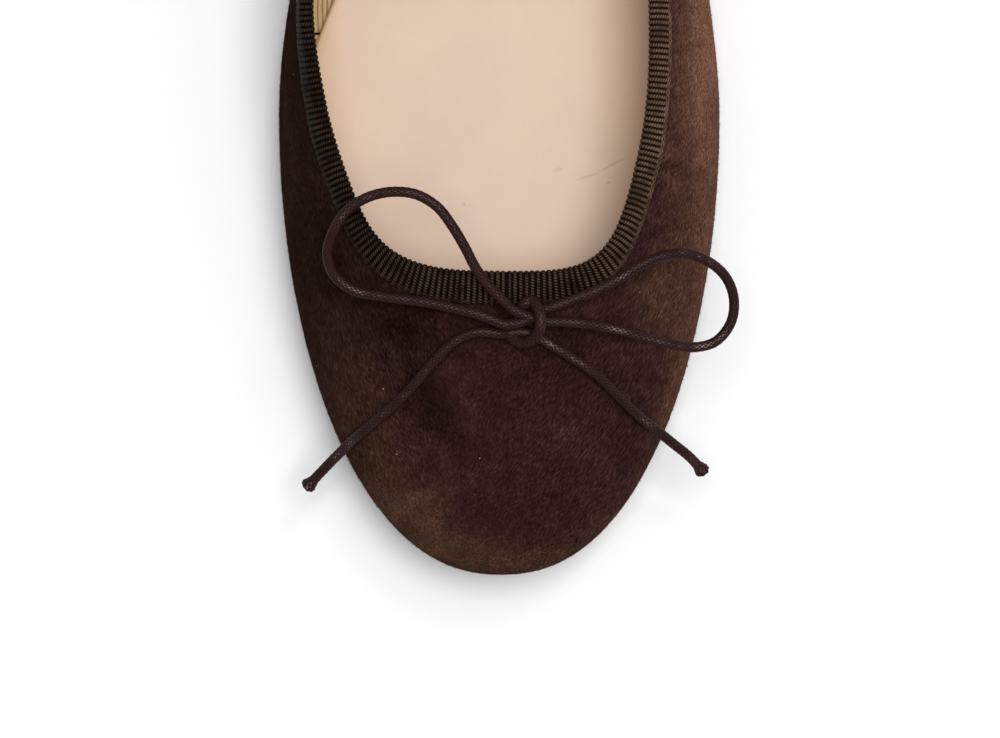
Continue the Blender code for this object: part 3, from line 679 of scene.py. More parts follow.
def ring_step(points):
    """From the column before to the column after, round a closed ring of columns."""
    return np.roll(points, -1, axis=0) - np.roll(points, 1, axis=0)


def column(side, name, station):
    """A value of the side's table at any station: a cubic spline through its rows."""
    rows = PROFILE[side]
    at = rows[:, 0] * LENGTH
    values = rows[:, COLUMNS.index(name)]
    steps = np.diff(at)
    size = len(at)
    system = np.zeros((size, size))
    rates = np.zeros(size)
    system[0, 0] = 1.0
    if name == "lean":
        rates[0] = (values[1] - values[0]) / steps[0]
    system[-1, -2:] = 1.0, 2.0
    rates[-1] = 3.0 * (values[-1] - values[-2]) / steps[-1]
    if name == "narrowing":
        system[-1, -2:] = 0.0, 1.0
        rates[-1] = 0.0
    for i in range(1, size - 1):
        before, after = steps[i - 1], steps[i]
        system[i, i - 1: i + 2] = after, 2.0 * (before + after), before
        rates[i] = 3.0 * (after * (values[i] - values[i - 1]) / before
                          + before * (values[i + 1] - values[i]) / after)
    slopes = np.linalg.solve(system, rates)
    station = np.clip(station, at[0], at[-1])
    i = np.clip(np.searchsorted(at, station) - 1, 0, size - 2)
    t = (station - at[i]) / steps[i]
    return (values[i] * (1 + 2 * t) * (1 - t) ** 2 + values[i + 1] * t * t * (3 - 2 * t)
            + steps[i] * (slopes[i] * t * (1 - t) ** 2 - slopes[i + 1] * t * t * (1 - t)))


def half_width(side, station):
    narrowing = column(side, "narrowing", station)
    return BALL_WIDTH / 2 - narrowing * (BALL_WIDTH - HEEL_WIDTH) / 2


def heel_height():
    return STACK_HEIGHT + LIFT_THICKNESS + 2 * CLEARANCE


def bottom_height(station):
    """Height of the outsole's underside: toe spring, flat forefoot, arch, heel seat."""
    share = station / LENGTH
    spring = TOE_SPRING * np.clip(1.0 - share / FLAT_FROM, 0.0, None) ** 2
    return spring + heel_height() * smoothstep((share - FLAT_TO) / (SEAT_FROM - FLAT_TO))


def bed_height(station):
    return bottom_height(station) + OUTSOLE_THICKNESS


def ring_line(turn, side, inset, front, back, toe_form, heel_form):
    """Half-width and station of a line round the shoe inside its widest line: a superellipse
    round the toe, the side's table, and a superellipse round the heel."""
    ball, centre = BALL * LENGTH, HEEL_CENTRE * LENGTH

    def side_half(station):
        return half_width(side, station) - inset(station)

    ball_slope = (side_half(ball + SLOPE_STEP) - side_half(ball)) / SLOPE_STEP
    heel_slope = (side_half(centre) - side_half(centre - SLOPE_STEP)) / SLOPE_STEP
    angle = quarter_turn(turn)
    ahead = (ball - front) * np.clip(np.cos(angle), 0, 1) ** (2 / toe_form[0])
    toe = side_half(ball) * np.sin(angle) ** (2 / toe_form[1]) - ball_slope * ahead * np.sin(angle) ** 4
    along = ball + (centre - ball) * np.clip(turn - 1.0, 0.0, 1.0)
    angle = quarter_turn(turn, 2.0)
    behind = (back - centre) * np.sin(angle) ** (2 / heel_form[0])
    heel = (side_half(centre) * np.clip(np.cos(angle), 0, 1) ** (2 / heel_form[1])
            + heel_slope * behind * np.cos(angle) ** 2)
    half = np.where(turn < 1.0, toe, np.where(turn > 2.0, heel, side_half(along)))
    station = np.where(turn < 1.0, ball - ahead, np.where(turn > 2.0, centre + behind, along))
    return half, station


def outline(turn, side):
    return ring_line(turn, side, lambda s: 0.0 * s, 0.0, LENGTH, TOE_FORM, HEEL_FORM)


def feather(turn, side, inward=0.0):
    """The line where the wall turns in under the foot, or a line further in."""
    def inset(station):
        return column(side, "undercut", station) * BALL_WIDTH / 2 + inward
    return ring_line(turn, side, inset, TOE_UNDERCUT + inward, LENGTH - HEEL_UNDERCUT - inward,
                     TOE_FORM, HEEL_FORM)


def collar(turn, side):
    """The upper's top edge: half-width, station and height."""
    def inset(station):
        return column(side, "lean", station) * BALL_WIDTH / 2
    half, station = ring_line(turn, side, inset, THROAT * LENGTH, LENGTH - BACK_LEAN,
                              THROAT_FORM[side], COLLAR_BACK_FORM)
    height = SIDE_HEIGHT + column(side, "rise", station) * (BACK_HEIGHT - SIDE_HEIGHT)
    throat = SIDE_HEIGHT + (THROAT_HEIGHT - SIDE_HEIGHT) * np.cos(quarter_turn(turn)) ** 2
    back = height + (BACK_HEIGHT - height) * np.sin(quarter_turn(turn, 2.0))
    return half, station, np.where(turn < 1.0, throat, np.where(turn > 2.0, back, height))


def placed(side, half, station, height):
    return np.stack([side * half, station - LENGTH / 2, height + 0.0 * half], axis=-1)


def wall_guides(side, turn):
    """The four guide points of a column's curve from the widest line to the collar."""
    foot = bed_height(feather(turn, side)[1]) + CLEARANCE
    rim = placed(side, *collar(turn, side))
    half, station = outline(turn, side)
    rim_rise = rim[..., 2] - foot
    low = placed(side, half, station, foot + BELLY_SHARE * rim_rise)
    rise = (rim[..., 2] - low[..., 2])[..., None]
    fan = np.cos(quarter_turn(turn)) ** 2
    plumb = column(side, "plumb", np.where(turn < 1.0, BALL * LENGTH, station))
    drop = (plumb * (1.0 - fan) + TOE_PLUMB * fan)[..., None] / 3.0
    reach = (GUIDE_REACH - PLUMB_REACH * np.clip(plumb, 0, 1) * (1.0 - fan) + TOE_REACH * fan)[..., None]
    across = (low - rim) * np.array([1.0, 1.0, 0.0])
    up = np.array([0.0, 0.0, 1.0])
    return np.stack([low, low + up * rise * GUIDE_RISE, rim + across * reach - up * rise * drop, rim])


def on_wall(guides, share):
    """Point and direction on the columns' curves, a cubic Bezier: 0 at the widest line, 1 at the
    collar. Guides and shares are arrays of matching shape."""
    a, b, c, d = guides
    s = np.asarray(share)[..., None]
    r = 1.0 - s
    point = a * r ** 3 + 3 * b * r * r * s + 3 * c * r * s * s + d * s ** 3
    along = 3 * ((b - a) * r * r + 2 * (c - b) * r * s + (d - c) * s * s)
    return point, along


def turns_along(line, side, count, first=0.0, last=3.0):
    """Turns at even distances along a line, from the toe to the heel."""
    turns = np.linspace(first, last, 3001)
    points = line(side, turns)
    along = distances(points)
    return np.interp(np.linspace(0.0, along[-1], count + 1), along, turns), along[-1]


def turn_at(share):
    """The turn at a station between ball and heel centre, given as a share of the length."""
    return 1.0 + (share - BALL) / (HEEL_CENTRE - BALL)


def widest_line(side, turns):
    return placed(side, *outline(turns, side), 0.0)


def collar_line(side, turns):
    return placed(side, *collar(turns, side))


def joined_ring(function, lateral, medial):
    """A function of (side, turns) along the lateral side to the heel and back along the medial
    side. Both rows of turns run from 0 to 3, and the shared ends are taken once."""
    back = medial[::-1][1:-1]
    return np.concatenate([function(1, lateral), function(-1, back)])


def upper_points(side, turns, rows):
    """The upper's outer surface. A row is 0 at the inner edge of the lasting margin, 1 at the
    feather line, 2 at the widest line (a quarter ellipse between them) and 3 at the collar."""
    half, station = feather(turns, side)
    start = placed(side, half, station, bed_height(station) + CLEARANCE)[:, None]
    half, station = feather(turns, side, FLANGE)
    margin = placed(side, half, station, bed_height(station) + CLEARANCE)[:, None]
    guides = wall_guides(side, turns)[:, :, None]
    low = guides[0]
    row = rows[None, :, None]
    flat = margin + (start - margin) * np.clip(row, 0.0, 1.0)
    angle = quarter_turn(rows, 1.0)
    turn_up = np.stack([np.sin(angle), np.sin(angle), 1.0 - np.cos(angle)], axis=-1)[None]
    bulge = start + (low - start) * turn_up
    wall = on_wall(guides, np.clip(rows - 2.0, 0.0, 1.0)[None])[0]
    return np.where(row < 1.0, flat, np.where(row < 2.0, bulge, wall))


def outward_normals(points, around=True):
    """Normals of a grid (columns, rows): the step to the next column crossed with the step up."""
    across = ring_step(points) if around else np.gradient(points, axis=0)
    return unit(np.cross(across, np.gradient(points, axis=1)))


def soft_spots(points, table):
    """How strongly each listed spot covers each point: a bell across the spot's own two
    directions, read in plan."""
    x = points[..., 0] * 1000.0
    y = (points[..., 1] + LENGTH / 2) * 1000.0
    covers = []
    for across, along, heading, length, width in (row[:5] for row in table):
        angle = math.radians(heading)
        lengthwise = (x - across) * math.sin(angle) + (y - along) * math.cos(angle)
        sideways = (x - across) * math.cos(angle) - (y - along) * math.sin(angle)
        covers.append(np.exp(-(lengthwise / length) ** 2 - (sideways / width) ** 2))
    return np.array(covers)


def weighted(covers, table, entry):
    weights = np.array([row[entry] for row in table])
    return np.tensordot(weights, covers, axes=1)


def ripple(places, waves, seed):
    """A smooth uneven line: a sum of sines with fixed random phases, about -1 to 1. Whole
    numbers of waves per unit, so a closed ring meets itself."""
    rng = np.random.default_rng(seed)
    total = 0.0
    for wave in waves:
        total = total + rng.uniform(0.4, 1.0) * np.sin(2 * math.pi * (wave * places + rng.random()))
    return total / len(waves)


def grid_faces(grid, around=False, section=False, caps=False, chart=None):
    """Faces over a grid of points (columns, rows): each joins two columns and two rows, in the
    order that points away from columns crossed with rows. Closed round the columns, the rows, or
    both; caps close the open ends of a closed section. Returns the corners, the corners of each
    face, and each corner's place on the chart, a grid one wider in a closed direction."""
    columns, rows = grid.shape[:2]
    i, j = np.meshgrid(np.arange(columns if around else columns - 1),
                       np.arange(rows if section else rows - 1), indexing="ij")
    i, j = i.ravel(), j.ravel()
    n, m = (i + 1) % columns, (j + 1) % rows
    corners = np.stack([i * rows + j, n * rows + j, n * rows + m, i * rows + m], axis=1).ravel()
    totals = np.full(len(i), 4)
    places = None
    if chart is not None:
        places = np.stack([chart[i, j], chart[i + 1, j], chart[i + 1, j + 1], chart[i, j + 1]], axis=1)
        places = places.reshape(-1, 2)
    if caps:
        ends = np.arange(rows), (columns - 1) * rows + np.arange(rows)[::-1]
        corners = np.concatenate([corners, *ends])
        totals = np.concatenate([totals, [rows, rows]])
        if chart is not None:
            places = np.concatenate([places, chart[0, :rows], chart[-1, :rows][::-1]])
    return corners, totals, places


def built(name, points, corners, totals, places=None):
    """A smooth-shaded mesh from whole arrays."""
    mesh = bpy.data.meshes.new(name)
    mesh.vertices.add(len(points))
    mesh.vertices.foreach_set("co", points.astype(np.float32).ravel())
    mesh.loops.add(len(corners))
    mesh.loops.foreach_set("vertex_index", corners.astype(np.int32))
    mesh.polygons.add(len(totals))
    starts = np.concatenate([[0], np.cumsum(totals)[:-1]])
    mesh.polygons.foreach_set("loop_start", starts.astype(np.int32))
    if places is not None:
        layer = mesh.uv_layers.new(name="chart")
        layer.data.foreach_set("uv", places.astype(np.float32).ravel())
    mesh.update(calc_edges=True)
    mesh.shade_smooth()
    return mesh


def surface(name, grid, around=False, section=False, caps=False, chart=None):
    return built(name, grid.reshape(-1, 3), *grid_faces(grid, around, section, caps, chart))


def tubes(name, parts):
    """Several capped tubes, each a grid and its chart, as one mesh."""
    points = np.concatenate([grid.reshape(-1, 3) for grid, _ in parts])
    starts = np.cumsum([0] + [grid.shape[0] * grid.shape[1] for grid, _ in parts])
    faces = zip(*(grid_faces(grid, section=True, caps=True, chart=chart) for grid, chart in parts))
    corners, totals, places = faces
    corners = [each + start for each, start in zip(corners, starts)]
    return built(name, points, *(np.concatenate(each) for each in (corners, totals, places)))


def closed_up(mesh, angle=35.0):
    """Doubles merged where a slab folds flat at the toe and heel, faces turned outward, and
    edges sharper than the angle kept."""
    shape = bmesh.new()
    shape.from_mesh(mesh)
    bmesh.ops.remove_doubles(shape, verts=shape.verts, dist=1e-7)
    bmesh.ops.dissolve_degenerate(shape, dist=1e-8, edges=shape.edges)
    bmesh.ops.recalc_face_normals(shape, faces=shape.faces)
    shape.to_mesh(mesh)
    shape.free()
    mesh.shade_smooth()
    mesh.set_sharp_from_angle(angle=math.radians(angle))
    return mesh


def point_values(mesh, name, values):
    data = mesh.attributes.new(name, "FLOAT", "POINT").data
    data.foreach_set("value", values.astype(np.float32).ravel())


def added(name, mesh, material, slot, *nodes):
    """The finished piece, riding on the shoe's body in place of its CAD nodes."""
    piece = bpy.data.objects.new(name, mesh)
    bpy.context.scene.collection.objects.link(piece)
    mesh.materials.append(material)
    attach(piece, "root")
    if nodes:
        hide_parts(*nodes)
    return piece


class Rest:
    """What the bow lies on, for finding the height where a cord touches it. Inside the collar a
    ray reaches the lasting margin, which is no rest for a cord."""
    ABOVE_MARGIN = THROAT_HEIGHT / 3
    TRIES = 12

    def __init__(self, *names):
        graph = bpy.context.evaluated_depsgraph_get()
        self.trees = [BVHTree.FromObject(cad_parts[name], graph) for name in names]

    def height(self, across, along):
        above = Vector((across, along, 1.0))
        hits = [tree.ray_cast(above, Vector((0.0, 0.0, -1.0)))[0] for tree in self.trees]
        heights = [hit.z for hit in hits if hit is not None and hit.z > self.ABOVE_MARGIN]
        return max(heights, default=0.0)

    def laid(self, point, away):
        """The point, raised until it is clear of everything by that distance."""
        point = Vector(point)
        point.z = max(point.z, self.height(point.x, point.y) + away)
        for _ in range(self.TRIES):
            near = min(tree.find_nearest(point)[3] for tree in self.trees)
            if near >= away:
                break
            point.z += away - near + 1e-5
        return point

    def knot(self):
        """The point on the leather that the bow's routes are measured from."""
        across, along = KNOT_ACROSS, THROAT * LENGTH - KNOT_AHEAD - LENGTH / 2
        return np.array((across, along, self.height(across, along)))


def smooth_route(points, spacing):
    """A centripetal Catmull-Rom curve through the points, read at even distances."""
    ends = np.vstack([2 * points[0] - points[1], points, 2 * points[-1] - points[-2]])
    p = [ends[i: len(ends) - 3 + i, None] for i in range(4)]
    k = [np.zeros((len(points) - 1, 1, 1))]
    for a, b in zip(p, p[1:]):
        k.append(k[-1] + np.sqrt(np.linalg.norm(b - a, axis=-1))[..., None])
    t = k[1] + (k[2] - k[1]) * np.arange(ROUTE_STEPS)[None, :, None] / ROUTE_STEPS

    def between(a, b, start, end):
        return a + (b - a) * (t - start) / (end - start)

    a1, a2, a3 = (between(p[i], p[i + 1], k[i], k[i + 1]) for i in range(3))
    b1, b2 = between(a1, a2, k[0], k[2]), between(a2, a3, k[1], k[3])
    fine = np.vstack([between(b1, b2, k[1], k[2]).reshape(-1, 3), points[-1:]])
    along = distances(fine)
    count = max(2, round(along[-1] / spacing) + 1)
    at = np.linspace(0.0, along[-1], count)
    return np.stack([np.interp(at, along, fine[:, axis]) for axis in range(3)], axis=1), at


def laid_route(route, rest, spacing, diameter):
    """The route as the part lays it, in metres, then read again in fine steps."""
    points = rest.knot() + np.array(route) / 1000.0
    coarse = smooth_route(points, spacing * diameter)[0]
    coarse = np.array([rest.laid(point, diameter / 2 + CLEARANCE) for point in coarse])
    return smooth_route(coarse, CORD_STEP)


def braided(path, along, diameter, settings, axis=(0.0, 0.0, 1.0), flared=False):
    """A braided cord: a circle carried along the path. Between two spirals of either hand each
    diamond is a strand, raised by |sin| across it and by a flatter |sin| along it, and the hands
    take turns. A cut end flares and frays. The circle starts from the axis, taken square to the
    path. Returns points and chart."""
    forward = unit(np.gradient(path, axis=0))
    first = np.array(axis) - (forward @ np.array(axis))[:, None] * forward
    first = unit(first)[:, None]
    second = np.cross(forward, first[:, 0])[:, None]
    around = np.arange(CORD_SIDES + 1) / CORD_SIDES
    places = np.stack(np.meshgrid(along * 1000.0, around, indexing="ij")[::-1], axis=-1)
    spiral = along[:, None] / settings.braid_pitch
    ahead, back = around * BRAID + spiral, around * BRAID - spiral
    hand = np.mod(np.floor(ahead) + np.floor(back), 2.0) > 0.5
    ahead, back = np.abs(np.sin(math.pi * ahead)), np.abs(np.sin(math.pi * back))
    raised = smoothstep(np.where(hand, back, ahead) * np.where(hand, ahead, back) ** 0.35 / 0.75)
    radius = diameter / 2 - settings.braid_depth * (1.0 - raised)
    if flared:
        left = (along[-1] - along)[:, None]
        frayed = (1.0 + 0.5 * np.sin(2 * math.pi * (around * 3 + 0.2))
                  + 0.35 * np.sin(2 * math.pi * around * 7))
        radius = radius * (1.0 + np.exp(-(left / FLARE_LENGTH) ** 2) * (0.34 + 0.18 * frayed))
    turn = 2 * math.pi * around[None, :-1, None]
    grid = path[:, None] + radius[:, :-1, None] * (np.cos(turn) * first - np.sin(turn) * second)
    return grid, places


def drawn_in(inward):
    """The feather line drawn in by a distance, as a line of a slab."""
    return lambda turns, side: feather(turns, side, inward)


def slab(turns, parts):
    """A loop of points across the shoe at each turn. Each part is (line, height, shares): points
    from the lateral (+) to the medial (-) edge of a line, at shares of its half-width."""
    loop = []
    for line, height, shares in parts:
        for share in shares:
            side = 1 if share > 0 else -1
            half, station = line(turns, side)
            loop.append(placed(side, half * abs(share), station, height(station, share)))
    return np.stack(loop, axis=1)


def slab_turns(toe=56, side=70, heel=44, first=0.0):
    """Turns closer together where the rows of a slab end in a point."""
    front = (np.arange(toe) / toe) ** 1.3
    middle = 1.0 + np.arange(side) / side
    back = 3.0 - ((heel - np.arange(heel + 1)) / heel) ** 1.3
    turns = np.concatenate([front, middle, back])
    return np.concatenate([[first], turns[turns > first + 1e-4]]) if first else turns


class FLAT_OT_stage(bpy.types.Operator):
    """Camera over the toe as in the photograph, a plain pale floor and soft light"""
    bl_idname = "flat.stage"
    bl_label = "Stage and camera"

    def execute(self, context):
        scene = context.scene
        settings = scene.flat_stage
        camera = bpy.data.objects.new("camera", bpy.data.cameras.new("camera"))
        scene.collection.objects.link(camera)
        scene.camera = camera
        camera.data.lens = CAMERA_LENS * SENSOR
        camera.data.sensor_width = SENSOR
        place = Vector((CAMERA_ASIDE, CAMERA_BACK - LENGTH / 2, CAMERA_HEIGHT))
        camera.location = place
        camera.rotation_euler = (0.0, -math.atan2(-place.x, place.z - CAMERA_AIM), 0.0)
        scene.view_settings.view_transform = "Standard"
        ends = (-FLOOR_REACH, FLOOR_REACH)
        mesh = surface("floor", np.array([[(x, y, -FLOOR_DROP) for y in ends] for x in ends]))
        mesh.materials.append(floor_finish(settings))
        floor = bpy.data.objects.new("floor", mesh)
        scene.collection.objects.link(floor)
        world = bpy.data.worlds.new("soft_light")
        world.use_nodes = True
        scene.world = world
        self.sky(world.node_tree, settings.sky)
        self.lamp(scene, "key", settings.key, settings.key_spread, KEY_FROM)
        self.lamp(scene, "spark", settings.spark, SPARK_SPREAD, SPARK_FROM)
        return {"FINISHED"}

    def lamp(self, scene, name, strength, spread, place):
        light = bpy.data.lights.new(name, "SUN")
        light.energy = strength
        light.angle = spread
        lamp = bpy.data.objects.new(name, light)
        scene.collection.objects.link(lamp)
        lamp.location = place
        lamp.rotation_euler = (-Vector(place)).to_track_quat("-Z", "Y").to_euler()

    def sky(self, tree, strength):
        """An even pale room that is dimmer on the shoe's inner side."""
        source = tree.nodes.new("ShaderNodeTexCoord").outputs["Generated"]
        split = tree.nodes.new("ShaderNodeSeparateXYZ")
        level = tree.nodes.new("ShaderNodeMapRange")
        level.inputs["From Min"].default_value = -1.0
        level.inputs["To Min"].default_value = SKY_INNER * strength
        level.inputs["To Max"].default_value = SKY_OUTER * strength
        background = tree.nodes["Background"]
        background.inputs["Color"].default_value = (1.0, 1.0, 1.0, 1.0)
        tree.links.new(source, split.inputs[0])
        tree.links.new(split.outputs[0], level.inputs["Value"])
        tree.links.new(level.outputs[0], background.inputs["Strength"])


class FLAT_OT_knot(bpy.types.Operator):
    """The bow's knot: a turn of the cord over the strands that run on from its loops and ends"""
    bl_idname = "flat.knot"
    bl_label = "Bow knot"

    def execute(self, context):
        settings = context.scene.flat_cord
        rest = Rest("upper", "collar_binding")
        path, along = laid_route(KNOT_WRAP, rest, KNOT_SPACING, KNOT_STRAND)
        parts = [braided(path, along, KNOT_STRAND, settings, WRAP_AXIS)]
        joins = ((LOOP_MEDIAL[1::-1], LOOP_LATERAL[-1:-3:-1]), (LOOP_MEDIAL[-2:], LOOP_LATERAL[:2]),
                 (END_MEDIAL[1::-1], END_LATERAL[:2]))
        *through, filling = KNOT_STRANDS
        for (before, after), strand in zip(joins, through):
            path, along = laid_route(before + strand + after, rest, KNOT_SPACING, settings.diameter)
            ends = rest.knot() + np.array((before[-1], after[0])) / 1000.0
            start, stop = (int(np.linalg.norm(path - end, axis=1).argmin()) for end in ends)
            keep = slice(max(start - 1, 0), stop + 2)
            parts.append(braided(path[keep], along[keep] - along[keep][0], settings.diameter, settings))
        path, along = laid_route(filling, rest, KNOT_SPACING, KNOT_STRAND)
        parts.append(braided(path, along, KNOT_STRAND, settings))
        mesh = tubes("cord_knot", parts)
        added("cord_knot", mesh, cord_finish(settings), "waxed_cord", "bow_knot")
        return {"FINISHED"}


class FLAT_OT_bow(bpy.types.Operator):
    """The bow's two loops and two ends, braided cords laid on the upper"""
    bl_idname = "flat.bow"
    bl_label = "Bow loops and ends"

    def execute(self, context):
        settings = context.scene.flat_cord
        rest = Rest("upper", "collar_binding")
        knot = bpy.data.objects["cord_knot"]
        cords = (("loop_medial", LOOP_MEDIAL, "object"), ("loop_lateral", LOOP_LATERAL, "object"),
                 ("end_medial", END_MEDIAL, "bare"), ("end_lateral", END_LATERAL, "bare"))
        for name, route, far_end in cords:
            path, along = laid_route(route, rest, LOOSE_SPACING, settings.diameter)
            grid, chart = braided(path, along, settings.diameter, settings, flared=far_end == "bare")
            mesh = surface("cord_" + name, grid, section=True, caps=True, chart=chart)
            piece = added("cord_" + name, mesh, knot.active_material, "waxed_cord", "bow_" + name)
        return {"FINISHED"}


class UpperGrid:
    """The upper's outer surface as a ring of even columns, with the creases pressed in."""

    def __init__(self, count=260):
        lateral = turns_along(widest_line, 1, count)[0]
        medial = turns_along(widest_line, -1, count)[0]
        self.rows = np.concatenate([np.linspace(0.0, 1.0, 4)[:-1], np.linspace(1.0, 2.0, 13)[:-1],
                                    np.linspace(2.0, 3.0, 70)])
        self.points = joined_ring(lambda side, turns: upper_points(side, turns, self.rows),
                                  lateral, medial)
        self.normals = outward_normals(self.points)
        covers = soft_spots(self.points, CREASES)
        visible = smoothstep((self.rows - 1.2) / 0.6) * smoothstep((3.0 - self.rows) / 0.12)
        push = weighted(covers, CREASES, CREASE_HEIGHT) / 1000.0 + self.unevenness()
        self.points = self.points + self.normals * (push * visible)[..., None]
        self.normals = outward_normals(self.points)
        # The patches' stops paint light on the lateral side and shade on the medial side, besides the
        # nap's tone
        covers = soft_spots(self.points, NAP_AND_PAINTED_LIGHT_PATCHES)
        self.tone = weighted(covers, NAP_AND_PAINTED_LIGHT_PATCHES, PATCH_STOPS)
        self.warmth = weighted(covers, NAP_AND_PAINTED_LIGHT_PATCHES, PATCH_WARMTH)

    def unevenness(self):
        """Slow waves of under a tenth of a millimetre, round the shoe and up the wall."""
        around = np.arange(len(self.points))[:, None] / len(self.points)
        up = self.rows[None] / 3.0
        return 0.00006 * ripple(around, (7, 13, 22, 31), 3) * ripple(up, (2, 3, 5), 4)


class FLAT_OT_upper(bpy.types.Operator):
    """The suede: a thin shell over the whole upper, from the lasting margin to the collar"""
    bl_idname = "flat.upper"
    bl_label = "Suede upper"
    THINNED = 6

    def execute(self, context):
        settings = context.scene.flat_suede
        outer = UpperGrid()
        grid = self.folded(outer.points, outer.points - outer.normals * settings.skin)
        mesh = surface("suede_upper", grid, around=True, section=True)
        point_values(mesh, "tone", self.folded(outer.tone, outer.tone))
        point_values(mesh, "warmth", self.folded(outer.warmth, outer.warmth))
        added("suede_upper", mesh, suede_finish(settings), "suede", "upper")
        return {"FINISHED"}

    def folded(self, outside, inside):
        """Rows up the outside, then fewer of them down the inside."""
        return np.concatenate([outside, inside[:, ::-self.THINNED]], axis=1)


class FLAT_OT_nap(bpy.types.Operator):
    """Short suede fibres over the whole outside, each a closed three-sided spike"""
    bl_idname = "flat.nap"
    bl_label = "Suede nap"
    THICKNESS = 0.000040
    ROOT = 0.00003
    ROWS = (1.15, 2.94)
    LIFTS = (0.12, 0.75)
    LENGTHS = (0.45, 1.35)
    UPWARD = 0.00035
    SECTION = ((1.0, 0.0), (-0.5, 0.87), (-0.5, -0.87))
    FACES = ((0, 2, 1), (0, 1, 3), (1, 2, 3), (2, 0, 3))

    def execute(self, context):
        settings = context.scene.flat_suede
        outer = UpperGrid()
        rng = np.random.default_rng(11)
        points = outer.points
        right, above = np.roll(points, -1, axis=0) - points, np.gradient(points, axis=1)
        area = np.linalg.norm(np.cross(right, above), axis=-1)
        area *= (outer.rows > self.ROWS[0]) & (outer.rows < self.ROWS[1])
        pick = np.searchsorted(np.cumsum(area) / area.sum(), rng.random(settings.nap_count))
        at = np.unravel_index(np.minimum(pick, area.size - 1), area.shape)
        count = len(pick)
        foot = points[at] + right[at] * rng.random((count, 1))
        foot = foot + above[at] * (rng.random((count, 1)) - 0.5)
        normal = outer.normals[at]
        lie = self.lie(points[at], right[at], above[at], normal, rng)
        lift = rng.uniform(*self.LIFTS, (count, 1))
        length = settings.nap_length * rng.uniform(*self.LENGTHS, (count, 1))
        heading = unit(lie * (1.0 - 0.4 * lift) + normal * lift)
        side = unit(np.cross(heading, normal))
        over = np.cross(side, heading)
        root = foot - normal * self.ROOT
        corners = [root + self.THICKNESS * (side * across + over * out)
                   for across, out in self.SECTION]
        corners = np.stack([*corners, root + heading * length], axis=1)
        faces = (np.arange(count)[:, None, None] * 4 + np.array(self.FACES)).reshape(-1)
        mesh = built("suede_nap", corners.reshape(-1, 3), faces, np.full(len(faces) // 3, 3))
        point_values(mesh, "tone", np.repeat(outer.tone[at], 4))
        point_values(mesh, "warmth", np.repeat(outer.warmth[at], 4))
        added("suede_nap", mesh, nap_finish(settings), "suede")
        return {"FINISHED"}

    def lie(self, points, right, above, normal, rng):
        """The way each fibre lies: to the toe and a little up the wall, unevenly, in the surface.
        The columns run to the heel on the lateral side and to the toe on the medial side."""
        lie = unit(right * np.where(points[:, :1] > 0, -1.0, 1.0) + self.UPWARD * unit(above))
        lie = unit(lie + 0.55 * rng.normal(size=lie.shape))
        return unit(lie - normal * (lie * normal).sum(axis=1, keepdims=True))


class FLAT_OT_linings(bpy.types.Operator):
    """Leather lining in the vamp and ribbed cloth in the quarters, against the suede's inside"""
    bl_idname = "flat.linings"
    bl_label = "Linings"
    SEAM = {1: 0.475, -1: 0.430}
    ROWS = np.concatenate([np.linspace(0.4, 1.0, 4)[:-1], np.linspace(1.0, 2.0, 9)[:-1],
                           np.linspace(2.0, 2.98, 26)])
    SEAM_GAP = 0.004
    OFF_SUEDE = 0.0001
    PROUD = 0.00002

    def execute(self, context):
        settings = context.scene.flat_inside
        skin = context.scene.flat_suede.skin
        seam = {side: turn_at(station) for side, station in self.SEAM.items()}
        vamp = self.arc(((-1, seam[-1], 0.0), (1, 0.0, seam[1])), 150)
        behind = {side: turn + self.SEAM_GAP for side, turn in seam.items()}
        quarter = self.arc(((1, behind[1], 3.0), (-1, 3.0, behind[-1])), 170)
        leather = leather_finish("vamp_leather", settings.vamp, 0.6, 1400.0, 0.0002)
        cloth = ribbed_cloth_finish(settings.quarter)
        for name, points, material, slot in (("vamp_lining", vamp, leather, "insole_leather"),
                                             ("quarter_lining", quarter, cloth, "grosgrain")):
            normals = outward_normals(points, around=False)
            shell = np.concatenate([points - normals * (skin + self.OFF_SUEDE),
                                    (points - normals * (WALL - self.PROUD))[:, ::-1]], axis=1)
            mesh = surface(name, shell, section=True, caps=True, chart=self.chart(shell))
            added(name, mesh, material, slot)
        return {"FINISHED"}

    def arc(self, runs, count):
        """Columns along one side and on along the other, with the shared column once."""
        parts = []
        for side, start, end in runs:
            turns = turns_along(widest_line, side, count, min(start, end), max(start, end))[0]
            turns = turns if start < end else turns[::-1]
            parts.append(upper_points(side, turns, self.ROWS))
        return np.concatenate([parts[0], parts[1][1:]])

    def chart(self, shell):
        """Millimetres along the shoe and up the wall, closed round the section."""
        shell = np.concatenate([shell, shell[:, :1]], axis=1)
        along = np.linalg.norm(np.diff(shell, axis=0, prepend=shell[:1]), axis=-1).mean(axis=1).cumsum()
        up = np.linalg.norm(np.diff(shell, axis=1, prepend=shell[:, :1]), axis=-1).cumsum(axis=1)
        return np.stack([along[:, None] + 0.0 * up, up], axis=-1) * 1000.0


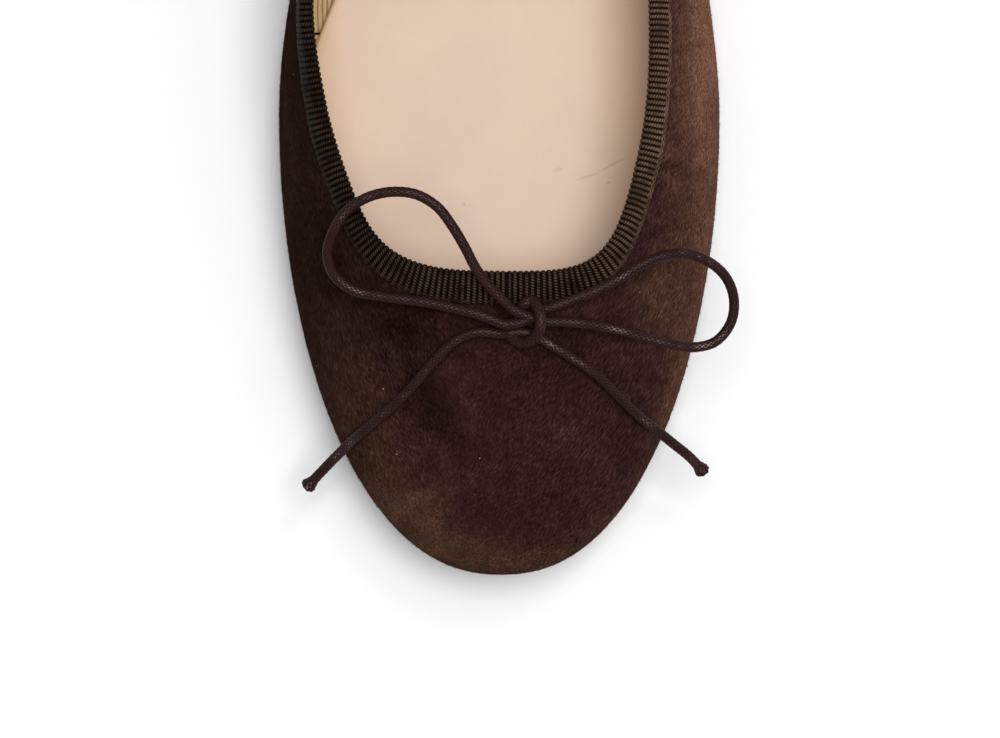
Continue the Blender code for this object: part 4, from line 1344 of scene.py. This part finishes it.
class FLAT_OT_binding(bpy.types.Operator):
    """The grosgrain tape folded over the collar, with its ribs"""
    bl_idname = "flat.binding"
    bl_label = "Collar binding"
    PER_RIB = 6
    OUTSIDE_ROWS = 9
    TIP_THINNED = 0.00012
    SWAY, FINE_SWAY = 0.00016, 0.00006

    def execute(self, context):
        settings = context.scene.flat_tape
        counts, turns = {}, {}
        for side in (1, -1):
            length = turns_along(collar_line, side, 10)[1]
            counts[side] = round(length / settings.rib_pitch)
            turns[side] = turns_along(collar_line, side, counts[side] * self.PER_RIB)[0]
        ribs = np.arange((counts[1] + counts[-1]) * self.PER_RIB + 1) / self.PER_RIB
        guides = joined_ring(lambda side, turn: np.moveaxis(wall_guides(side, turn), 0, 1),
                             turns[1], turns[-1])
        leg = joined_ring(lambda side, turn: LEG_OUTSIDE + (LEG_AT_THROAT - LEG_OUTSIDE)
                          * np.cos(quarter_turn(turn)), turns[1], turns[-1])
        grid, inward = self.section(guides, leg, ribs[:-1], settings)
        chart = np.stack(np.broadcast_arrays(ribs[:, None], np.vstack([inward, inward[:1]])), axis=-1)
        mesh = surface("binding_tape", grid, around=True, section=True, chart=chart)
        added("binding_tape", mesh, tape_finish(settings), "grosgrain", "collar_binding")
        return {"FINISHED"}

    def squared(self, point, along, edge):
        """The wall's points slid round the ring, by reading between its columns, until every rib
        runs square to the edge."""
        count, rows = point.shape[:2]
        step = ring_step(point) / 2
        drop = ((point - edge[:, None]) * unit(step)).sum(axis=-1)
        place = np.arange(count)[:, None] - drop / np.linalg.norm(step, axis=-1)
        low = np.floor(place).astype(int)
        part = (place - low)[..., None]
        row = np.arange(rows)
        return tuple(field[low % count, row] * (1.0 - part) + field[(low + 1) % count, row] * part
                     for field in (point, along))

    def section(self, guides, leg, ribs, settings):
        """The tape's section at each column: down the outside (angle 0), round the edge (0 to a
        half turn), down the inside, and back at the tape's thickness. A point lies at a depth down
        the wall and a radius out from the wall's middle. The radius drops by the rib's depth times
        1 - |sin| between ribs."""
        outer, inner = WALL / 2 + CLEARANCE + TAPE, WALL / 2 + CLEARANCE
        skin_angle, skin_down = self.fold(0.0, math.pi, self.OUTSIDE_ROWS, 13, 6)
        back_angle, back_down = self.fold(math.pi, 0.0, 3, 5, 3)
        angle = np.concatenate([skin_angle, back_angle])[None]
        down = np.concatenate([skin_down, back_down])[None]
        skin = np.arange(angle.shape[1]) < len(skin_angle)
        depth = down * np.where(angle < math.pi / 2, leg[:, None], LEG_INSIDE)
        pull = np.linalg.norm(on_wall(guides.transpose(1, 0, 2), np.ones(len(guides)))[1], axis=1)
        point, along = on_wall(np.moveaxis(guides, 1, 0)[:, :, None], 1.0 - depth / pull[:, None])
        point, along = self.squared(point, along, point[:, self.OUTSIDE_ROWS])
        around = unit(ring_step(point))
        along = unit(along - (along * around).sum(axis=-1, keepdims=True) * around)
        outward = np.cross(around, along)
        top = np.abs(np.sin(math.pi * ribs))[:, None] ** 0.8
        tip = smoothstep((down - 0.80) / 0.2) * skin
        rib = settings.rib_depth * (1.0 - top) * (1.0 - 0.45 * tip) * skin
        radius = np.where(skin, outer, inner) - rib - self.TIP_THINNED * tip
        turned = outward * np.cos(angle)[..., None] + along * np.sin(angle)[..., None]
        share = ribs[:, None] / (ribs[-1] + 1.0)
        slant = (self.SWAY * ripple(share, (5, 9, 14, 23), 6)
                 + self.FINE_SWAY * ripple(share, (41, 67, 103), 8))
        sway = slant * (down - 0.5) * (angle < math.pi / 2)
        grid = point - outward * WALL / 2 + turned * radius[..., None] + around * sway[..., None]
        walked = np.linalg.norm(np.diff(grid, axis=1, prepend=grid[:, :1]), axis=-1).cumsum(axis=1)
        inward = np.concatenate([walked, walked[:, -1:]], axis=1) * 1000.0
        return grid, inward

    def fold(self, start, end, before, bend, after):
        """Angles and depths of one skin of the tape: points up to the edge, round it and down,
        with the bend's own ends left out."""
        angle = np.concatenate([np.full(before, start), np.linspace(start, end, bend)[1:-1],
                                np.full(after, end)])
        down = np.concatenate([np.linspace(1.0, 0.0, before), np.zeros(bend - 2),
                               np.linspace(0.0, 1.0, after)])
        return angle, down


class FLAT_OT_sock(bpy.types.Operator):
    """The insole's pale leather, slightly cupped, with a rolled edge"""
    bl_idname = "flat.sock"
    bl_label = "Insole sock"
    ROLL = 0.0007
    ROLL_ANGLES = (0.5, 1.0, 1.5)
    CUP = 0.0003

    def execute(self, context):
        settings = context.scene.flat_inside
        core = FLANGE + INSOLE_GAP
        rim_height = 2 * CLEARANCE + WALL
        top = rim_height + INSOLE_THICKNESS

        def height(over, cup=0.0):
            return lambda station, share: bed_height(station) + over + cup * np.abs(share) ** 6

        def rolled(share, angles):
            """The rolled top edge of one side, by its angle from the top."""
            return [(drawn_in(INSOLE_GAP + self.ROLL * (1 - math.sin(angle))),
                     height(top - self.ROLL * (1 - math.cos(angle)), self.CUP), (share,))
                    for angle in angles]

        under = ((INSOLE_GAP, rim_height, (-1.0,)), (core, rim_height, (-1.0,)),
                 (core, CLEARANCE, (-1.0, 1.0)),
                 (core, rim_height, (1.0,)), (INSOLE_GAP, rim_height, (1.0,)))
        parts = [(drawn_in(INSOLE_GAP + self.ROLL), height(top, self.CUP), np.linspace(1.0, -1.0, 32)),
                 *rolled(-1.0, self.ROLL_ANGLES),
                 *((drawn_in(inward), height(over), shares) for inward, over, shares in under),
                 *rolled(1.0, self.ROLL_ANGLES[::-1])]
        grid = slab(slab_turns(), parts)
        mesh = closed_up(surface("insole_sock", grid, section=True), 50.0)
        material = leather_finish("sock_leather", settings.sock, 0.48, 1500.0, 0.00004, 0.04, 0.8,
                                  SOCK_MARKS, SOCK_WARM_SHADE)
        added("insole_sock", mesh, material, "insole_leather", "insole")
        return {"FINISHED"}


class FLAT_OT_sole(bpy.types.Operator):
    """The thin leather sole with a round edge"""
    bl_idname = "flat.sole"
    bl_label = "Outsole"

    def execute(self, context):
        settings = context.scene.flat_bottom
        half = OUTSOLE_THICKNESS / 2
        edge = [(EDGE_ROUND * (1 - math.sin(angle)), half + half * math.cos(angle))
                for angle in np.linspace(0.0, math.pi, 7)[1:-1]]
        rows = [(EDGE_ROUND, OUTSOLE_THICKNESS, np.linspace(1.0, -1.0, 10)),
                *((*spot, (-1.0,)) for spot in edge),
                (EDGE_ROUND, 0.0, np.linspace(-1.0, 1.0, 10)),
                *((*spot, (1.0,)) for spot in reversed(edge))]
        parts = [(drawn_in(inward - OUTSOLE_MARGIN),
                  lambda station, share, over=over: bottom_height(station) + over, shares)
                 for inward, over, shares in rows]
        mesh = closed_up(surface("leather_sole", slab(slab_turns(), parts), section=True), 60.0)
        material = leather_finish("sole_leather", settings.sole, 0.55, 900.0, 0.0002, gloss=0.2)
        added("leather_sole", mesh, material, "sole_leather", "outsole")
        return {"FINISHED"}


class FLAT_OT_heel(bpy.types.Operator):
    """The stacked heel block and its rubber top lift"""
    bl_idname = "flat.heel"
    bl_label = "Heel"
    FILLET = 0.00035

    def execute(self, context):
        settings = context.scene.flat_bottom
        split = LIFT_THICKNESS + CLEARANCE
        low_inset = HEEL_INSET + HEEL_TAPER
        self.piece("heel_block", split, heel_height() - CLEARANCE, low_inset, HEEL_INSET,
                   stacked_finish(settings), "heel_leather", "heel_stack")
        self.piece("rubber_lift", 0.0, LIFT_THICKNESS, low_inset, low_inset,
                   rubber_finish(settings), "heel_rubber", "heel_top_lift")
        return {"FINISHED"}

    def piece(self, name, low, high, low_inset, high_inset, material, slot, node):
        """A D-shaped piece: its edge line drawn in by a fillet at the top and the bottom."""
        turns = slab_turns(40, 60, 44, turn_at(HEEL_BREAST))
        rise = [(high, high_inset + self.FILLET), (high - self.FILLET, high_inset),
                (low + self.FILLET, low_inset), (low, low_inset + self.FILLET)]
        rows = [(*spot, -1.0) for spot in rise] + [(*spot, 1.0) for spot in reversed(rise)]
        parts = [(drawn_in(inset - OUTSOLE_MARGIN),
                  lambda station, share, height=height: height + 0.0 * station, (sign,))
                 for height, inset, sign in rows]
        mesh = closed_up(surface(name, slab(turns, parts), section=True, caps=True), 40.0)
        added(name, mesh, material, slot, node)


class FLAT_PT_panel(bpy.types.Panel):
    bl_label = "Ballet flat"
    bl_idname = "FLAT_PT_panel"
    bl_space_type = "VIEW_3D"
    bl_region_type = "UI"
    bl_category = "Ballet flat"

    def draw(self, context):
        for operator in OPERATORS:
            self.layout.operator(operator.bl_idname)
        for name in SETTINGS:
            group = getattr(context.scene, name)
            box = self.layout.box()
            for field in group.bl_rna.properties.keys():
                if field not in {"rna_type", "name"}:
                    box.prop(group, field)


SETTINGS = {"flat_stage": StageSettings, "flat_suede": SuedeSettings, "flat_tape": TapeSettings,
            "flat_cord": CordSettings, "flat_inside": InsideSettings, "flat_bottom": BottomSettings}
OPERATORS = (FLAT_OT_stage, FLAT_OT_knot, FLAT_OT_bow, FLAT_OT_upper, FLAT_OT_nap, FLAT_OT_linings,
             FLAT_OT_binding, FLAT_OT_sock, FLAT_OT_sole, FLAT_OT_heel)


def register():
    for group in (*SETTINGS.values(), *OPERATORS, FLAT_PT_panel):
        bpy.utils.register_class(group)
    for name, group in SETTINGS.items():
        setattr(bpy.types.Scene, name, bpy.props.PointerProperty(type=group))


def unregister():
    for name in SETTINGS:
        delattr(bpy.types.Scene, name)
    for group in reversed((*SETTINGS.values(), *OPERATORS, FLAT_PT_panel)):
        bpy.utils.unregister_class(group)


def main():
    register()
    bpy.ops.flat.stage()
    bpy.ops.flat.knot()
    bpy.ops.flat.bow()
    bpy.ops.flat.upper()
    bpy.ops.flat.nap()
    bpy.ops.flat.linings()
    bpy.ops.flat.binding()
    bpy.ops.flat.sock()
    bpy.ops.flat.sole()
    bpy.ops.flat.heel()


if __name__ == "__main__":
    main()
